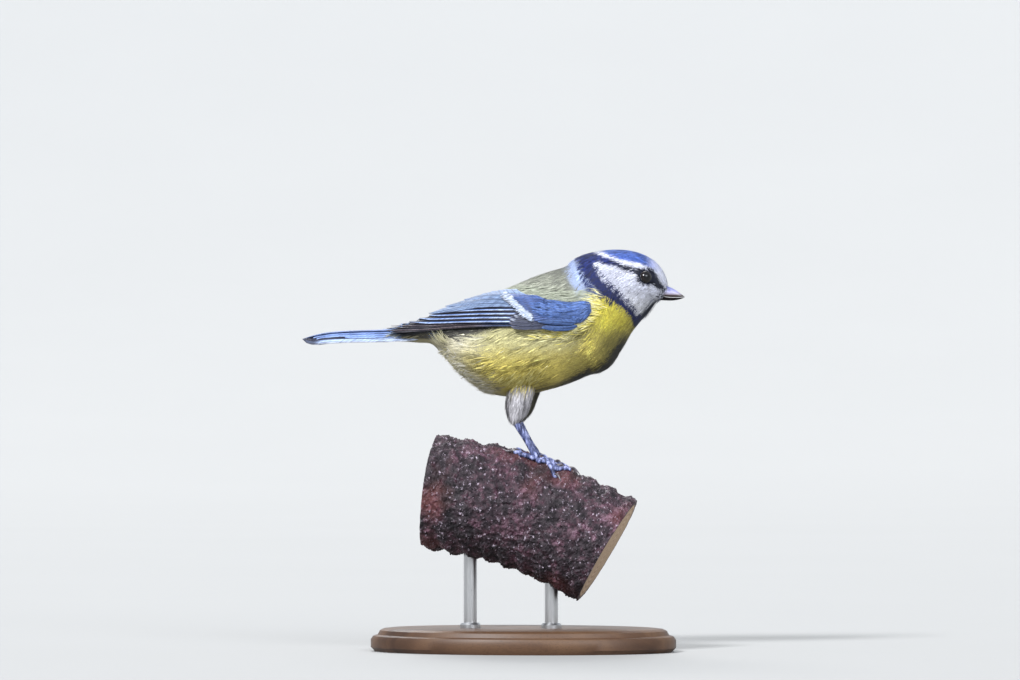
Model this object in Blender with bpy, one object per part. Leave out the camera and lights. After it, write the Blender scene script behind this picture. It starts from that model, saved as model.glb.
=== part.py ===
# A blue tit on a cut length of branch, as a still life-size model on a plain stand.
# Sizes are in millimetres and become metres where a mesh is made.
# +Z is up, +X is the way the bird faces and -Y is its right side.
# Places on the bird are measured from the top of the branch under its feet.

import math
import random

import bmesh
import bpy
import numpy as np
from mathutils import Vector
from mathutils.bvhtree import BVHTree

MM = 0.001
GAP = 0.3
FOOT_X = 14.0
FOOT_HEIGHT = 58.0

# Sections of the body, from the root of the tail to the base of the bill.
# Each row is the top x and z, the bottom x and z, the half width, how far down
# the section it is widest, and how square the section is (1 is an ellipse).
BODY = (
    (-33.0, 41.2, -33.0, 33.8, 4.8, 0.45, 1.0),
    (-29.6, 42.1, -30.4, 31.6, 6.4, 0.50, 1.0),
    (-25.8, 44.0, -27.4, 28.2, 9.4, 0.54, 1.0),
    (-21.5, 45.6, -23.2, 23.9, 12.6, 0.56, 1.0),
    (-17.0, 46.9, -18.2, 20.4, 14.9, 0.56, 0.98),
    (-12.8, 48.6, -13.4, 18.4, 16.1, 0.55, 0.96),
    (-8.6, 51.4, -8.6, 17.9, 16.8, 0.54, 0.96),
    (-4.2, 53.6, -3.6, 18.5, 17.1, 0.53, 0.96),
    (0.2, 55.4, 2.0, 19.8, 16.9, 0.53, 0.96),
    (4.2, 56.7, 8.2, 21.6, 16.2, 0.53, 0.97),
    (7.4, 57.7, 14.6, 24.7, 15.1, 0.53, 0.98),
    (9.4, 58.9, 20.4, 27.5, 13.7, 0.54, 1.0),
    (11.0, 60.2, 24.6, 33.0, 12.3, 0.55, 1.0),
    (13.6, 61.3, 27.6, 37.4, 11.2, 0.55, 1.0),
    (17.2, 62.1, 30.4, 40.6, 10.6, 0.53, 1.0),
    (21.2, 62.6, 32.7, 43.2, 10.4, 0.51, 1.0),
    (25.2, 62.55, 34.3, 45.4, 10.1, 0.50, 1.0),
    (28.8, 61.9, 35.3, 46.7, 9.4, 0.50, 1.0),
    (32.0, 60.7, 35.9, 47.1, 8.3, 0.50, 1.0),
    (34.7, 59.0, 36.2, 47.25, 6.9, 0.51, 1.0),
    (36.6, 56.9, 36.4, 47.35, 5.3, 0.53, 1.0),
    (37.9, 54.4, 36.6, 47.4, 3.7, 0.56, 1.0),
    (38.5, 52.3, 36.8, 47.4, 2.4, 0.58, 1.0),
)
NECK_PLACE = 12.5
HEAD_PLACE = 14.6
RING_STEP = 0.5
BODY_SIDES = 32

# What the wings lie on behind the body, in the same columns as BODY
WING_BED_REAR = (
    (-48.0, 40.3, -48.0, 36.2, 4.6, 0.45, 1.0),
    (-43.0, 40.9, -43.0, 35.4, 5.2, 0.45, 1.0),
    (-38.0, 41.3, -38.0, 34.2, 5.6, 0.45, 1.0),
)

# The wing's arm from the side: its upper and lower edges as x and z, front to back,
# and how far it stands off the bed at the front, in the middle and at the back
ARM_TOP = ((16.6, 46.6), (13.0, 47.6), (7.0, 47.2), (1.0, 47.4), (-5.0, 47.6))
ARM_LOW = ((16.4, 44.2), (13.6, 41.0), (8.0, 38.9), (2.0, 38.3), (-5.0, 38.4))
ARM_STEPS = 9
ARM_ACROSS = 5
ARM_THICK = (0.5, 2.3, 3.3, 3.5, 2.6)
BED_CLEAR = 0.4
BED_GROW = 1.2

# Each tier of the wing's feathers: how many, where the first and last of them root,
# pass their middle and end, as x and z on the bed seen from the side, how far they
# stand off the body at those three places, and the widths below and above the shaft
TIERS = {
    "inner flight": {
        "count": 2,
        "root": ((1.0, 41.2), (4.0, 39.6)),
        "middle": ((-18.0, 41.8), (-20.0, 39.6)),
        "tip": ((-40.8, 40.4), (-45.4, 38.8)),
        "off": (1.3, 1.4, 1.5),
        "widths": (0.9, 1.25),
        "tilt": 36.0,
        "steps": 6,
    },
    "outer flight": {
        "count": 6,
        "root": ((-2.4, 47.4), (0.8, 41.6)),
        "middle": ((-11.0, 47.3), (-18.5, 40.2)),
        "tip": ((-18.6, 45.9), (-27.4, 43.2), (-35.6, 39.6)),
        "off": (2.2, 4.0, 3.8),
        "widths": (1.5, 1.7),
        "tilt": 37.0,
        "steps": 5,
    },
    "hand coverts": {
        "count": 3,
        "root": ((3.4, 41.6), (5.4, 39.6)),
        "middle": ((-1.4, 41.6), (-0.4, 39.3)),
        "tip": ((-8.0, 41.4), (-6.6, 38.8)),
        "off": (2.3, 4.4, 4.8),
        "widths": (0.9, 1.0),
        "tilt": 40.0,
        "steps": 3,
    },
    "great coverts": {
        "count": 4,
        "root": ((4.6, 47.0), (5.6, 42.9)),
        "middle": ((-2.8, 47.5), (1.2, 42.9)),
        "tip": ((-9.6, 48.0), (-2.6, 42.9)),
        "off": (2.4, 4.8, 5.5),
        "widths": (1.4, 1.25),
        "tilt": 37.0,
        "steps": 3,
    },
    "thumb feathers": {
        "count": 2,
        "root": ((11.0, 41.2), (11.2, 39.9)),
        "middle": ((6.2, 41.0), (6.6, 39.4)),
        "tip": ((0.6, 41.0), (1.2, 39.2)),
        "off": (1.6, 4.4, 5.6),
        "widths": (0.8, 0.9),
        "tilt": 36.0,
        "steps": 3,
    },
}
VANE_THICK = 0.5
VANE_EDGE = 0.32
VANE_TIP = 0.22
FEATHER_SEED = 21

# The tail: the top of the closed feathers and the half width over them, as x, z and y
TAIL_TOP = ((-33.3, 39.1, 2.2), (-38.0, 38.9, 3.2), (-46.5, 38.7, 3.8), (-57.0, 38.4, 4.2),
            (-66.0, 38.0, 4.3), (-71.4, 37.2, 3.4))
TAIL_LEVELS = 5
TAIL_DROP = (0.82, 0.80, 0.78, 0.75, 0.70, 0.62)
TAIL_STEPS = 5
TAIL_START = 0.36
TAIL_SHAFT = 0.62
TAIL_SHORTER = 0.45
TAIL_STEP_OUT = 0.13
TAIL_MIDDLE_GAP = 0.2
TAIL_EDGE_FEATHER = 1.1
TAIL_THICK = 0.46
# The tail's root under its coverts: x, half width and half depth at each end
TAIL_CORE = ((-33.35, 4.0, 2.75), (-39.0, 2.4, 1.85))
TAIL_CORE_HEIGHT = 37.0
TAIL_CORE_SIDES = 14

# The bill: the heights of its ridge, mouth line and lower edge and its half widths
# where it meets the head, then to the tip the ridge x and z, mouth line x and z,
# lower edge x and z, and the half widths of its upper and lower halves
BILL_BASE = (51.7, 48.9, 47.5, 1.75, 1.55)
BILL = (
    (39.6, 51.3, 38.4, 48.6, 38.3, 47.35, 1.5, 1.3),
    (40.8, 50.6, 40.0, 48.45, 39.9, 47.4, 1.15, 1.0),
    (42.0, 49.6, 41.6, 48.4, 41.5, 47.75, 0.75, 0.62),
    (42.9, 48.85, 42.8, 48.35, 42.6, 48.05, 0.38, 0.3),
)
BILL_TIP = (43.4, 48.25)
NOSTRIL_PLACE = (39.3, 50.35)
NOSTRIL_RADIUS = 0.32

EYE_PLACE = (33.0, 54.3)
EYE_RADIUS = 1.95
EYE_SUNK = 1.05
LID_RADIUS = 1.86
LID_THICK = 0.4
MOUTH_CUT = (35.6, 48.95)

# The legs: the thigh from inside the belly to the ankle, the shank to the foot
HIP = (-4.2, 23.5, 6.4)
THIGH = ((0.0, 4.6, 4.2), (0.35, 4.2, 3.8), (0.62, 3.5, 3.1), (0.84, 2.5, 2.2), (1.0, 1.5, 1.4))
ANKLE = (-6.9, 11.6, 6.2)
HUB = (-0.4, 2.35, 5.2)
# How much further forward the left leg's hip, ankle and foot are than the right's
LEFT_LEG_SHIFT = (0.4, -0.6, -1.3)
HEEL = 1.5
HUB_RADIUS = 1.25
STUB_LENGTH = 3.4
SHANK_TOP = (1.05, 1.15)
SHANK_MIDDLE = (0.78, 0.95)
SHANK_LOW = (0.84, 0.95)
SHANK_SIDES = 10
TOE_SIDES = 7
# Each toe: its turn from straight ahead in degrees, its length, radii and claw length
TOES = ((2.0, 10.2, 0.82, 0.58, 3.6), (23.0, 7.2, 0.72, 0.52, 3.1),
        (-30.0, 7.8, 0.72, 0.52, 3.1), (184.0, 6.4, 0.86, 0.62, 4.6))
TOE_LIFT = 0.34
KNUCKLE = 0.16

# The branch: an arc in the view from the side, round the point its curve turns about
BRANCH_RADIUS = 17.0
BRANCH_BEND = 142.0
BRANCH_FOOT_ANGLE = 19.0
BRANCH_HALF_ANGLE = 11.5
BRANCH_RINGS = 18
BRANCH_SIDES = 30
BARK_DEPTH = 0.75
BARK_WAVES = 14
BARK_SEED = 7

# The stand: an oval base and two rods up into the branch
BASE_LENGTH = 92.0
BASE_WIDTH = 58.0
BASE_THICK = 7.0
BASE_X = 9.0
BASE_SIDES = 64
BASE_BEVEL = 1.6
ROD_RADIUS = 2.0
ROD_PLACES = {"stand_rod_front": 17.5, "stand_rod_back": -7.0}
ROD_SUNK = 4.5
ROD_SIDES = 20

COLOURS = {
    "blue": (0.10, 0.20, 0.56),
    "white": (0.76, 0.78, 0.90),
    "yellow": (0.52, 0.46, 0.09),
    "horn": (0.20, 0.22, 0.30),
    "black": (0.01, 0.01, 0.015),
    "leg": (0.20, 0.26, 0.42),
    "grey": (0.50, 0.50, 0.54),
    "bark": (0.09, 0.055, 0.06),
    "wood": (0.22, 0.12, 0.06),
    "steel": (0.55, 0.55, 0.56),
}


def clear_scene():
    for obj in list(bpy.data.objects):
        bpy.data.objects.remove(obj, do_unlink=True)


def material(name, roughness=0.7, metallic=0.0):
    made = bpy.data.materials.get(name)
    if made:
        return made
    made = bpy.data.materials.new(name)
    made.use_nodes = True
    shader = made.node_tree.nodes["Principled BSDF"]
    shader.inputs["Base Color"].default_value = (*COLOURS[name], 1.0)
    shader.inputs["Roughness"].default_value = roughness
    shader.inputs["Metallic"].default_value = metallic
    return made


def placed(point):
    """A place on the bird in millimetres, as metres from the model's origin."""
    return Vector((point[0] + FOOT_X, point[1], point[2] + FOOT_HEIGHT)) * MM


def object_of(name, points, faces, finish=None):
    mesh = bpy.data.meshes.new(name)
    mesh.from_pydata([placed(point) for point in points], [], faces)
    mesh.validate()
    shell = bmesh.new()
    shell.from_mesh(mesh)
    bmesh.ops.recalc_face_normals(shell, faces=shell.faces)
    shell.to_mesh(mesh)
    shell.free()
    obj = bpy.data.objects.new(name, mesh)
    bpy.context.scene.collection.objects.link(obj)
    if finish:
        mesh.materials.append(material(finish))
    return obj


def between(rows, place):
    """The row at a fractional place in the rows, on a smooth curve through them."""
    table = np.asarray(rows, float)
    table = np.vstack([2 * table[0] - table[1], table, 2 * table[-1] - table[-2]])
    step = min(int(place), len(rows) - 2)
    t = place - step
    before, first, second, after = table[step:step + 4]
    bend = (2 * before - 5 * first + 4 * second - after) * t * t
    twist = (3 * first - before - 3 * second + after) * t ** 3
    return 0.5 * (2 * first + (second - before) * t + bend + twist)


def ring_of(row, sides, grow=0.0):
    """One closed section of the body as points, and the way it faces."""
    top_x, top_z, low_x, low_z, half, widest, square = row
    top = np.array([top_x, 0.0, top_z])
    down = np.array([low_x, 0.0, low_z]) - top
    depth = np.linalg.norm(down)
    down /= depth
    top = top - down * grow
    depth += 2 * grow
    ring = []
    for turn in range(sides):
        angle = 2 * math.pi * turn / sides
        reach = widest if math.cos(angle) > 0 else 1 - widest
        fall = widest - reach * math.cos(angle)
        side = (half + grow) * math.copysign(abs(math.sin(angle)) ** square, math.sin(angle))
        ring.append(top + down * depth * fall + np.array([0.0, -side, 0.0]))
    ahead = np.array([-down[2], 0.0, down[0]])
    return np.array(ring), ahead if ahead[0] > 0 else -ahead


def skin_rings(rings, shut=True):
    """Points and faces of a tube through the rings, closed by a flat face at each end."""
    sides = len(rings[0])
    points = [point for ring in rings for point in ring]
    faces = []
    for row in range(len(rings) - 1):
        for turn in range(sides):
            after = (turn + 1) % sides
            a = row * sides
            faces.append((a + turn, a + after, a + sides + after, a + sides + turn))
    if shut:
        faces.append(tuple(range(sides))[::-1])
        faces.append(tuple(range((len(rings) - 1) * sides, len(rings) * sides)))
    return points, faces


def body_rings(start, end, sides=BODY_SIDES, step=RING_STEP, grow=0.0, rows=BODY):
    count = max(2, round((end - start) / step) + 1)
    places = np.linspace(start, end, count)
    return [ring_of(between(rows, place), sides, grow) for place in places]


def body_piece(name, start, end, finish, part_start, part_end):
    """A length of the body, drawn back by half a gap where it meets its neighbour."""
    rings = body_rings(start, end)
    shapes = [ring for ring, _ in rings]
    if part_start:
        shapes[0] = shapes[0] + rings[0][1] * GAP / 2
    if part_end:
        shapes[-1] = shapes[-1] - rings[-1][1] * GAP / 2
    points, faces = skin_rings(shapes)
    obj = object_of(name, points, faces, finish)
    smooth(obj)
    return obj


def smooth(obj, limit=40.0):
    obj.data.shade_smooth()
    obj.data.set_sharp_from_angle(angle=math.radians(limit))


def tree_of(points, faces):
    return BVHTree.FromPolygons([Vector(point) for point in points], faces)


def body_tree(grow=0.0, rows=BODY):
    rings = [ring for ring, _ in body_rings(0, len(rows) - 1, 72, 0.25, grow, rows)]
    return tree_of(*skin_rings(rings))


def apply_booleans(obj):
    """Replaces the object's mesh by what its modifiers make of it."""
    bpy.context.view_layer.update()
    graph = bpy.context.evaluated_depsgraph_get()
    mesh = bpy.data.meshes.new_from_object(obj.evaluated_get(graph))
    obj.modifiers.clear()
    obj.data = mesh


def cut(obj, cutters, solver="EXACT"):
    for cutter in cutters:
        cutter.hide_render = True
        cutter.display_type = "WIRE"
        modifier = obj.modifiers.new("cut", "BOOLEAN")
        modifier.operation = "DIFFERENCE"
        modifier.solver = solver
        modifier.object = cutter
    apply_booleans(obj)
    for cutter in cutters:
        bpy.data.objects.remove(cutter, do_unlink=True)


def fuse(obj, pieces, solver="EXACT"):
    """Joins the pieces to the object by one Boolean union on their collection."""
    group = bpy.data.collections.new(obj.name + "_pieces")
    bpy.context.scene.collection.children.link(group)
    for piece in pieces:
        bpy.context.scene.collection.objects.unlink(piece)
        group.objects.link(piece)
    modifier = obj.modifiers.new("join", "BOOLEAN")
    modifier.operation = "UNION"
    modifier.solver = solver
    modifier.operand_type = "COLLECTION"
    modifier.collection = group
    apply_booleans(obj)
    for piece in pieces:
        bpy.data.objects.remove(piece, do_unlink=True)
    bpy.data.collections.remove(group)


def keep_largest(obj):
    """Leaves only the object's largest closed surface."""
    shell = bmesh.new()
    shell.from_mesh(obj.data)
    bmesh.ops.triangulate(shell, faces=shell.faces)
    unseen = set(shell.faces)
    bodies = []
    while unseen:
        reached = [unseen.pop()]
        body = []
        while reached:
            face = reached.pop()
            body.append(face)
            for edge in face.edges:
                for other in edge.link_faces:
                    if other in unseen:
                        unseen.discard(other)
                        reached.append(other)
        bodies.append(body)
    volumes = []
    for body in bodies:
        corners = [[vert.co for vert in face.verts] for face in body]
        volumes.append(abs(sum(a.dot(b.cross(c)) for a, b, c in corners)))
    largest = volumes.index(max(volumes))
    spare = [face for index, body in enumerate(bodies) if index != largest for face in body]
    bmesh.ops.delete(shell, geom=spare, context="FACES")
    loose = [vert for vert in shell.verts if not vert.link_faces]
    bmesh.ops.delete(shell, geom=loose, context="VERTS")
    shell.to_mesh(obj.data)
    shell.free()


def ball(name, centre, radius, subdivisions=2, finish=None):
    shell = bmesh.new()
    bmesh.ops.create_icosphere(shell, subdivisions=subdivisions, radius=radius * MM)
    bmesh.ops.translate(shell, verts=shell.verts, vec=placed(centre))
    mesh = bpy.data.meshes.new(name)
    shell.to_mesh(mesh)
    shell.free()
    obj = bpy.data.objects.new(name, mesh)
    bpy.context.scene.collection.objects.link(obj)
    if finish:
        mesh.materials.append(material(finish))
        obj.data.shade_smooth()
    return obj


def frame_along(direction, side_hint=(0.0, 1.0, 0.0)):
    """Two directions square to this one, for drawing a section."""
    ahead = Vector(direction).normalized()
    across = Vector(side_hint) - ahead * ahead.dot(Vector(side_hint))
    across.normalize()
    return across, ahead.cross(across)


def tube(name, path, radii, sides, finish=None, hint=(0.0, 1.0, 0.0), turn=0.0):
    """A closed round bar along a path, with a width and a depth at each point."""
    rings = []
    for step, point in enumerate(path):
        ahead = path[min(step + 1, len(path) - 1)] - path[max(step - 1, 0)]
        across, over = frame_along(ahead, hint)
        wide, deep = radii[step]
        ring = []
        for side in range(sides):
            angle = 2 * math.pi * side / sides + turn
            ring.append(point + across * wide * math.cos(angle) + over * deep * math.sin(angle))
        rings.append(ring)
    return object_of(name, *skin_rings(rings), finish)


def lid_ring(name, centre, outward):
    """The rim of the lids, a ring of round section on the head's surface."""
    across, over = frame_along(outward)
    around, section = 20, 8
    rings = []
    for turn in range(around):
        angle = 2 * math.pi * turn / around
        spoke = across * math.cos(angle) + over * math.sin(angle)
        ring = []
        for side in range(section):
            bend = 2 * math.pi * side / section
            reach = LID_RADIUS + LID_THICK * math.cos(bend)
            ring.append(centre + spoke * reach + outward * LID_THICK * math.sin(bend))
        rings.append(ring)
    points = [point for ring in rings for point in ring]
    faces = []
    for row in range(around):
        for side in range(section):
            a, b = row * section, (row + 1) % around * section
            after = (side + 1) % section
            faces.append((a + side, a + after, b + after, b + side))
    return object_of(name, points, faces)


def make_head():
    head = body_piece("head", HEAD_PLACE, len(BODY) - 1, "white", True, False)
    surface = body_tree()
    rims, sockets = [], []
    for name, side in (("eye_right", -1), ("eye_left", 1)):
        start = Vector((EYE_PLACE[0], side * 40.0, EYE_PLACE[1]))
        point, outward, _, _ = surface.ray_cast(start, Vector((0.0, -side, 0.0)))
        centre = point - outward * EYE_SUNK
        ball(name, centre, EYE_RADIUS, 3, "black")
        rims.append(lid_ring("lid", point - outward * 0.1, outward))
        sockets.append(ball("socket", centre, EYE_RADIUS + GAP, 3))
    fuse(head, rims, "MANIFOLD")
    slot_x, slot_z = MOUTH_CUT
    slot = ((slot_x, -4, slot_z - 0.15), (slot_x, 4, slot_z - 0.15),
            (slot_x, 4, slot_z + 0.15), (slot_x, -4, slot_z + 0.15),
            (slot_x + 6, -4, slot_z - 0.5), (slot_x + 6, 4, slot_z - 0.5),
            (slot_x + 6, 4, slot_z - 0.2), (slot_x + 6, -4, slot_z - 0.2))
    sides = ((0, 1, 2, 3), (4, 7, 6, 5), (0, 4, 5, 1), (1, 5, 6, 2), (2, 6, 7, 3), (3, 7, 4, 0))
    sockets.append(object_of("mouth", slot, sides))
    cut(head, sockets, "MANIFOLD")
    keep_largest(head)
    smooth(head)


def bill_ring(row, upper):
    """One section of a bill half: a flat mouth side and a rounded ridge."""
    culmen, mouth, under = (Vector((row[i], 0.0, row[i + 1])) for i in (0, 2, 4))
    half = row[6] if upper else row[7]
    ridge = culmen if upper else under
    lift = (ridge - mouth).normalized()
    base = mouth + lift * GAP / 2
    height = (ridge - base).length
    ring = []
    for step in range(9):
        angle = math.pi * step / 8
        wide = half * math.copysign(abs(math.cos(angle)) ** 0.8, math.cos(angle))
        ring.append(base + lift * height * math.sin(angle) + Vector((0.0, wide, 0.0)))
    return ring


def bill_rows():
    """The bill's sections, from the one that lies along the front of the head."""
    top_x, top_z, low_x, low_z = BODY[-1][:4]
    base = []
    for height in BILL_BASE[:3]:
        x = low_x + (top_x - low_x) * (height - low_z) / (top_z - low_z)
        base += [x + GAP * 1.15, height]
    return (tuple(base) + BILL_BASE[3:],) + BILL


def make_bill():
    rows = bill_rows()
    for name, upper in (("bill_upper", True), ("bill_lower", False)):
        rings = [bill_ring(between(rows, place), upper) for place in np.linspace(0, 4, 9)]
        offset = 0.12 if upper else -0.12
        tip = Vector((BILL_TIP[0], 0.0, BILL_TIP[1] + offset))
        last = [tip + (point - sum(rings[-1], Vector()) / 9) * 0.25 for point in rings[-1]]
        if not upper:
            last = [point - Vector((0.5, 0.0, 0.1)) for point in last]
        points, faces = skin_rings(rings + [last])
        half = object_of(name, points, faces, "horn")
        if upper:
            x, z = NOSTRIL_PLACE
            cut(half, [ball("pit", (x, side * 1.45, z), NOSTRIL_RADIUS, 1) for side in (-1, 1)])
            keep_largest(half)
        smooth(half)


def wing_bed():
    return body_tree(BED_GROW, WING_BED_REAR + BODY)


def on_bed(bed, x, z, side, off):
    """The place this far off the body seen at x and z from the side, and its outward way."""
    point, outward, _, _ = bed.ray_cast(Vector((x, side * 60.0, z)), Vector((0.0, -side, 0.0)))
    return point + outward * (off - BED_GROW), outward


def vane(path, outwards, lows, highs, thick, tilt, side):
    """A feather as a thin closed blade: a shaft line, a lower and an upper edge.

    Both faces are split into triangles the same way, so that they never cross.
    """
    points, faces = [], []
    last = len(path) - 1
    lean = math.radians(tilt)
    for step, shaft in enumerate(path):
        ahead = (path[min(step + 1, last)] - path[max(step - 1, 0)]).normalized()
        out = (outwards[step] - ahead * outwards[step].dot(ahead)).normalized()
        down = ahead.cross(out) * side
        across = down * math.cos(lean) + out * math.sin(lean)
        over = out * math.cos(lean) - down * math.sin(lean)
        share = step / last
        ridge = thick * (1 - 0.5 * share ** 6) / 2
        edge = min(ridge, VANE_EDGE / 2)
        low, high = shaft + across * lows[step], shaft - across * highs[step]
        points += [low + over * edge, shaft + over * ridge, high + over * edge,
                   high - over * edge, shaft - over * ridge, low - over * edge]
    for step in range(last):
        a, b = step * 6, step * 6 + 6
        for left, right in ((0, 1), (1, 2), (2, 3), (5, 4), (4, 3), (0, 5)):
            faces += [(a + left, a + right, b + right), (a + left, b + right, b + left)]
    for a in (0, last * 6):
        faces += [(a, a + 1, a + 4), (a, a + 4, a + 5), (a + 1, a + 2, a + 3), (a + 1, a + 3, a + 4)]
    return points, faces


def vane_width(share):
    """The width of a feather along its length, as a share of its widest."""
    quill = min(1.0, 0.36 + 2.6 * share)
    round_tip = math.sqrt(max(0.0, 1 - max(0.0, (share - 0.72) / 0.30) ** 2))
    return quill * max(VANE_TIP, round_tip)


def part_way(rows, share):
    """The row at a share of the way through the rows."""
    return between(rows, share * (len(rows) - 1))


def wing_vanes(side, bed):
    """The blades of one wing, tier by tier."""
    draw = random.Random(FEATHER_SEED)
    blades = []
    for tier in TIERS.values():
        for index in range(tier["count"]):
            share = index / (tier["count"] - 1)
            stops = [part_way(tier[key], share) for key in ("root", "middle", "tip")]
            stops[2] = stops[2] + (stops[2] - stops[1]) * draw.uniform(-0.02, 0.02)
            steps = tier["steps"]
            path, outwards, lows, highs = [], [], [], []
            for step in range(steps + 1):
                along = step / steps
                x, z = part_way(stops, along)
                off = part_way([(value,) for value in tier["off"]], along)[0]
                point, outward = on_bed(bed, x, z, side, off)
                path.append(point)
                outwards.append(outward)
                wide = vane_width(along)
                lows.append(tier["widths"][0] * wide)
                highs.append(tier["widths"][1] * wide)
            blades.append(vane(path, outwards, lows, highs, VANE_THICK, tier["tilt"], side))
    return blades


def arm_shape(side, bed):
    """The arm and hand under their coverts, a closed pad on the body's side."""
    inner, outer = [], []
    for step in range(ARM_STEPS + 1):
        place = step / ARM_STEPS
        top = part_way(ARM_TOP, place)
        low = part_way(ARM_LOW, place)
        thick = part_way([(value,) for value in ARM_THICK], place)[0]
        for across in range(ARM_ACROSS + 1):
            share = across / ARM_ACROSS
            x, z = top + (low - top) * share
            point, outward = on_bed(bed, x, z, side, BED_CLEAR)
            swell = 0.5 + 0.5 * math.sin(math.pi * (0.08 + 0.84 * share))
            inner.append(point)
            outer.append(point + outward * thick * swell)
    return pad(inner, outer, ARM_STEPS, ARM_ACROSS)


def pad(inner, outer, steps, across):
    """A closed sheet between two grids of points, split alike on both faces."""
    wide = across + 1
    under = len(inner)
    faces = []
    for step in range(steps):
        for place in range(across):
            a = step * wide + place
            b = a + wide
            faces += [(a, b, b + 1), (a, b + 1, a + 1)]
            a, b = a + under, b + under
            faces += [(a, b + 1, b), (a, a + 1, b + 1)]
    edge = list(range(wide))
    edge += [step * wide + across for step in range(1, steps + 1)]
    edge += [steps * wide + place for place in range(across - 1, -1, -1)]
    edge += [step * wide for step in range(steps - 1, 0, -1)]
    for index, a in enumerate(edge):
        b = edge[(index + 1) % len(edge)]
        faces += [(a, b, b + under), (a, b + under, a + under)]
    return inner + outer, faces


def make_wing(name, side, bed):
    """The arm with its tiers of overlapping feathers, fused at their roots."""
    arm = object_of(name, *arm_shape(side, bed), "blue")
    blades = [object_of("vane", *blade) for blade in wing_vanes(side, bed)]
    fuse(arm, blades, "MANIFOLD")
    keep_largest(arm)
    smooth(arm)


def tail_vanes():
    """The tail's feathers, in pairs that lie under one another from the middle out."""
    blades = []
    last = len(TAIL_TOP) - 1
    drops = [(value,) for value in TAIL_DROP]
    for side in (-1, 1):
        for index in range(TAIL_LEVELS + 1):
            level = min(index, TAIL_LEVELS - 1)
            length = last - TAIL_START - 0.07 * index * TAIL_SHORTER
            path, lows, highs = [], [], []
            for step in range(TAIL_STEPS + 1):
                along = step / TAIL_STEPS
                place = TAIL_START + length * along
                x, top, half = between(TAIL_TOP, place)
                drop = between(drops, place)[0]
                outer = half + TAIL_STEP_OUT * level * min(1.0, place)
                inner = TAIL_MIDDLE_GAP + 0.1 * level
                if index == TAIL_LEVELS:
                    inner = outer + GAP
                    outer = inner + TAIL_EDGE_FEATHER * min(1.0, 0.5 * place)
                shaft = inner + (outer - inner) * TAIL_SHAFT
                wide = vane_width(along)
                path.append(Vector((x, side * shaft, top - TAIL_THICK / 2 - drop * level)))
                lows.append((outer - shaft) * wide)
                highs.append((shaft - inner) * wide)
            outwards = [Vector((0.0, 0.0, 1.0))] * (TAIL_STEPS + 1)
            blades.append(vane(path, outwards, lows, highs, TAIL_THICK, 0.0, side))
    return blades


def make_tail():
    """The closed tail: a short root that meets the body, and twelve feathers."""
    rings = []
    for share in (0.0, 0.33, 0.67, 1.0):
        x, half, deep = part_way(TAIL_CORE, share)
        ring = []
        for turn in range(TAIL_CORE_SIDES):
            angle = 2 * math.pi * turn / TAIL_CORE_SIDES
            flat = math.copysign(abs(math.sin(angle)) ** 0.6, math.sin(angle))
            ring.append((x, half * math.cos(angle), TAIL_CORE_HEIGHT + deep * flat))
        rings.append(ring)
    tail = object_of("tail", *skin_rings(rings), "blue")
    fuse(tail, [object_of("vane", *blade) for blade in tail_vanes()], "MANIFOLD")
    keep_largest(tail)
    smooth(tail)


def branch_centre():
    """The point that the branch's curve turns about, in the view from the side."""
    reach = BRANCH_BEND + BRANCH_RADIUS
    angle = math.radians(BRANCH_FOOT_ANGLE)
    return -reach * math.sin(angle), -reach * math.cos(angle)


def bark_waves():
    draw = random.Random(BARK_SEED)
    waves = []
    for _ in range(BARK_WAVES):
        around, along = draw.randint(1, 7), draw.uniform(-34, 34)
        waves.append((around, along, draw.uniform(0, 2 * math.pi), draw.uniform(0.4, 1.0)))
    return waves


def bark_height(waves, turn, along):
    """How far the bark stands from the branch's mean radius there."""
    total = sum(size * math.sin(around * turn + reach * along + start)
                for around, reach, start, size in waves)
    return BARK_DEPTH * total / math.sqrt(BARK_WAVES)


def branch_rings(waves, rings, sides):
    centre_x, centre_z = branch_centre()
    made = []
    for step in range(rings + 1):
        share = 2 * step / rings - 1
        angle = math.radians(BRANCH_FOOT_ANGLE + share * BRANCH_HALF_ANGLE)
        up = Vector((math.sin(angle), 0.0, math.cos(angle)))
        middle = Vector((centre_x, 0.0, centre_z)) + up * BRANCH_BEND
        ring = []
        for side in range(sides):
            turn = 2 * math.pi * side / sides
            radius = BRANCH_RADIUS + bark_height(waves, turn, share)
            spoke = up * math.cos(turn) + Vector((0.0, -1.0, 0.0)) * math.sin(turn)
            ring.append(middle + spoke * radius)
        made.append(ring)
    return made


def rod_hole(name, x, low, high, radius):
    shell = bmesh.new()
    bmesh.ops.create_cone(shell, cap_ends=True, segments=ROD_SIDES, radius1=radius * MM,
                          radius2=radius * MM, depth=(high - low) * MM)
    bmesh.ops.translate(shell, verts=shell.verts, vec=Vector((x, 0.0, (high + low) / 2)) * MM)
    mesh = bpy.data.meshes.new(name)
    shell.to_mesh(mesh)
    shell.free()
    obj = bpy.data.objects.new(name, mesh)
    bpy.context.scene.collection.objects.link(obj)
    return obj


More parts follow.
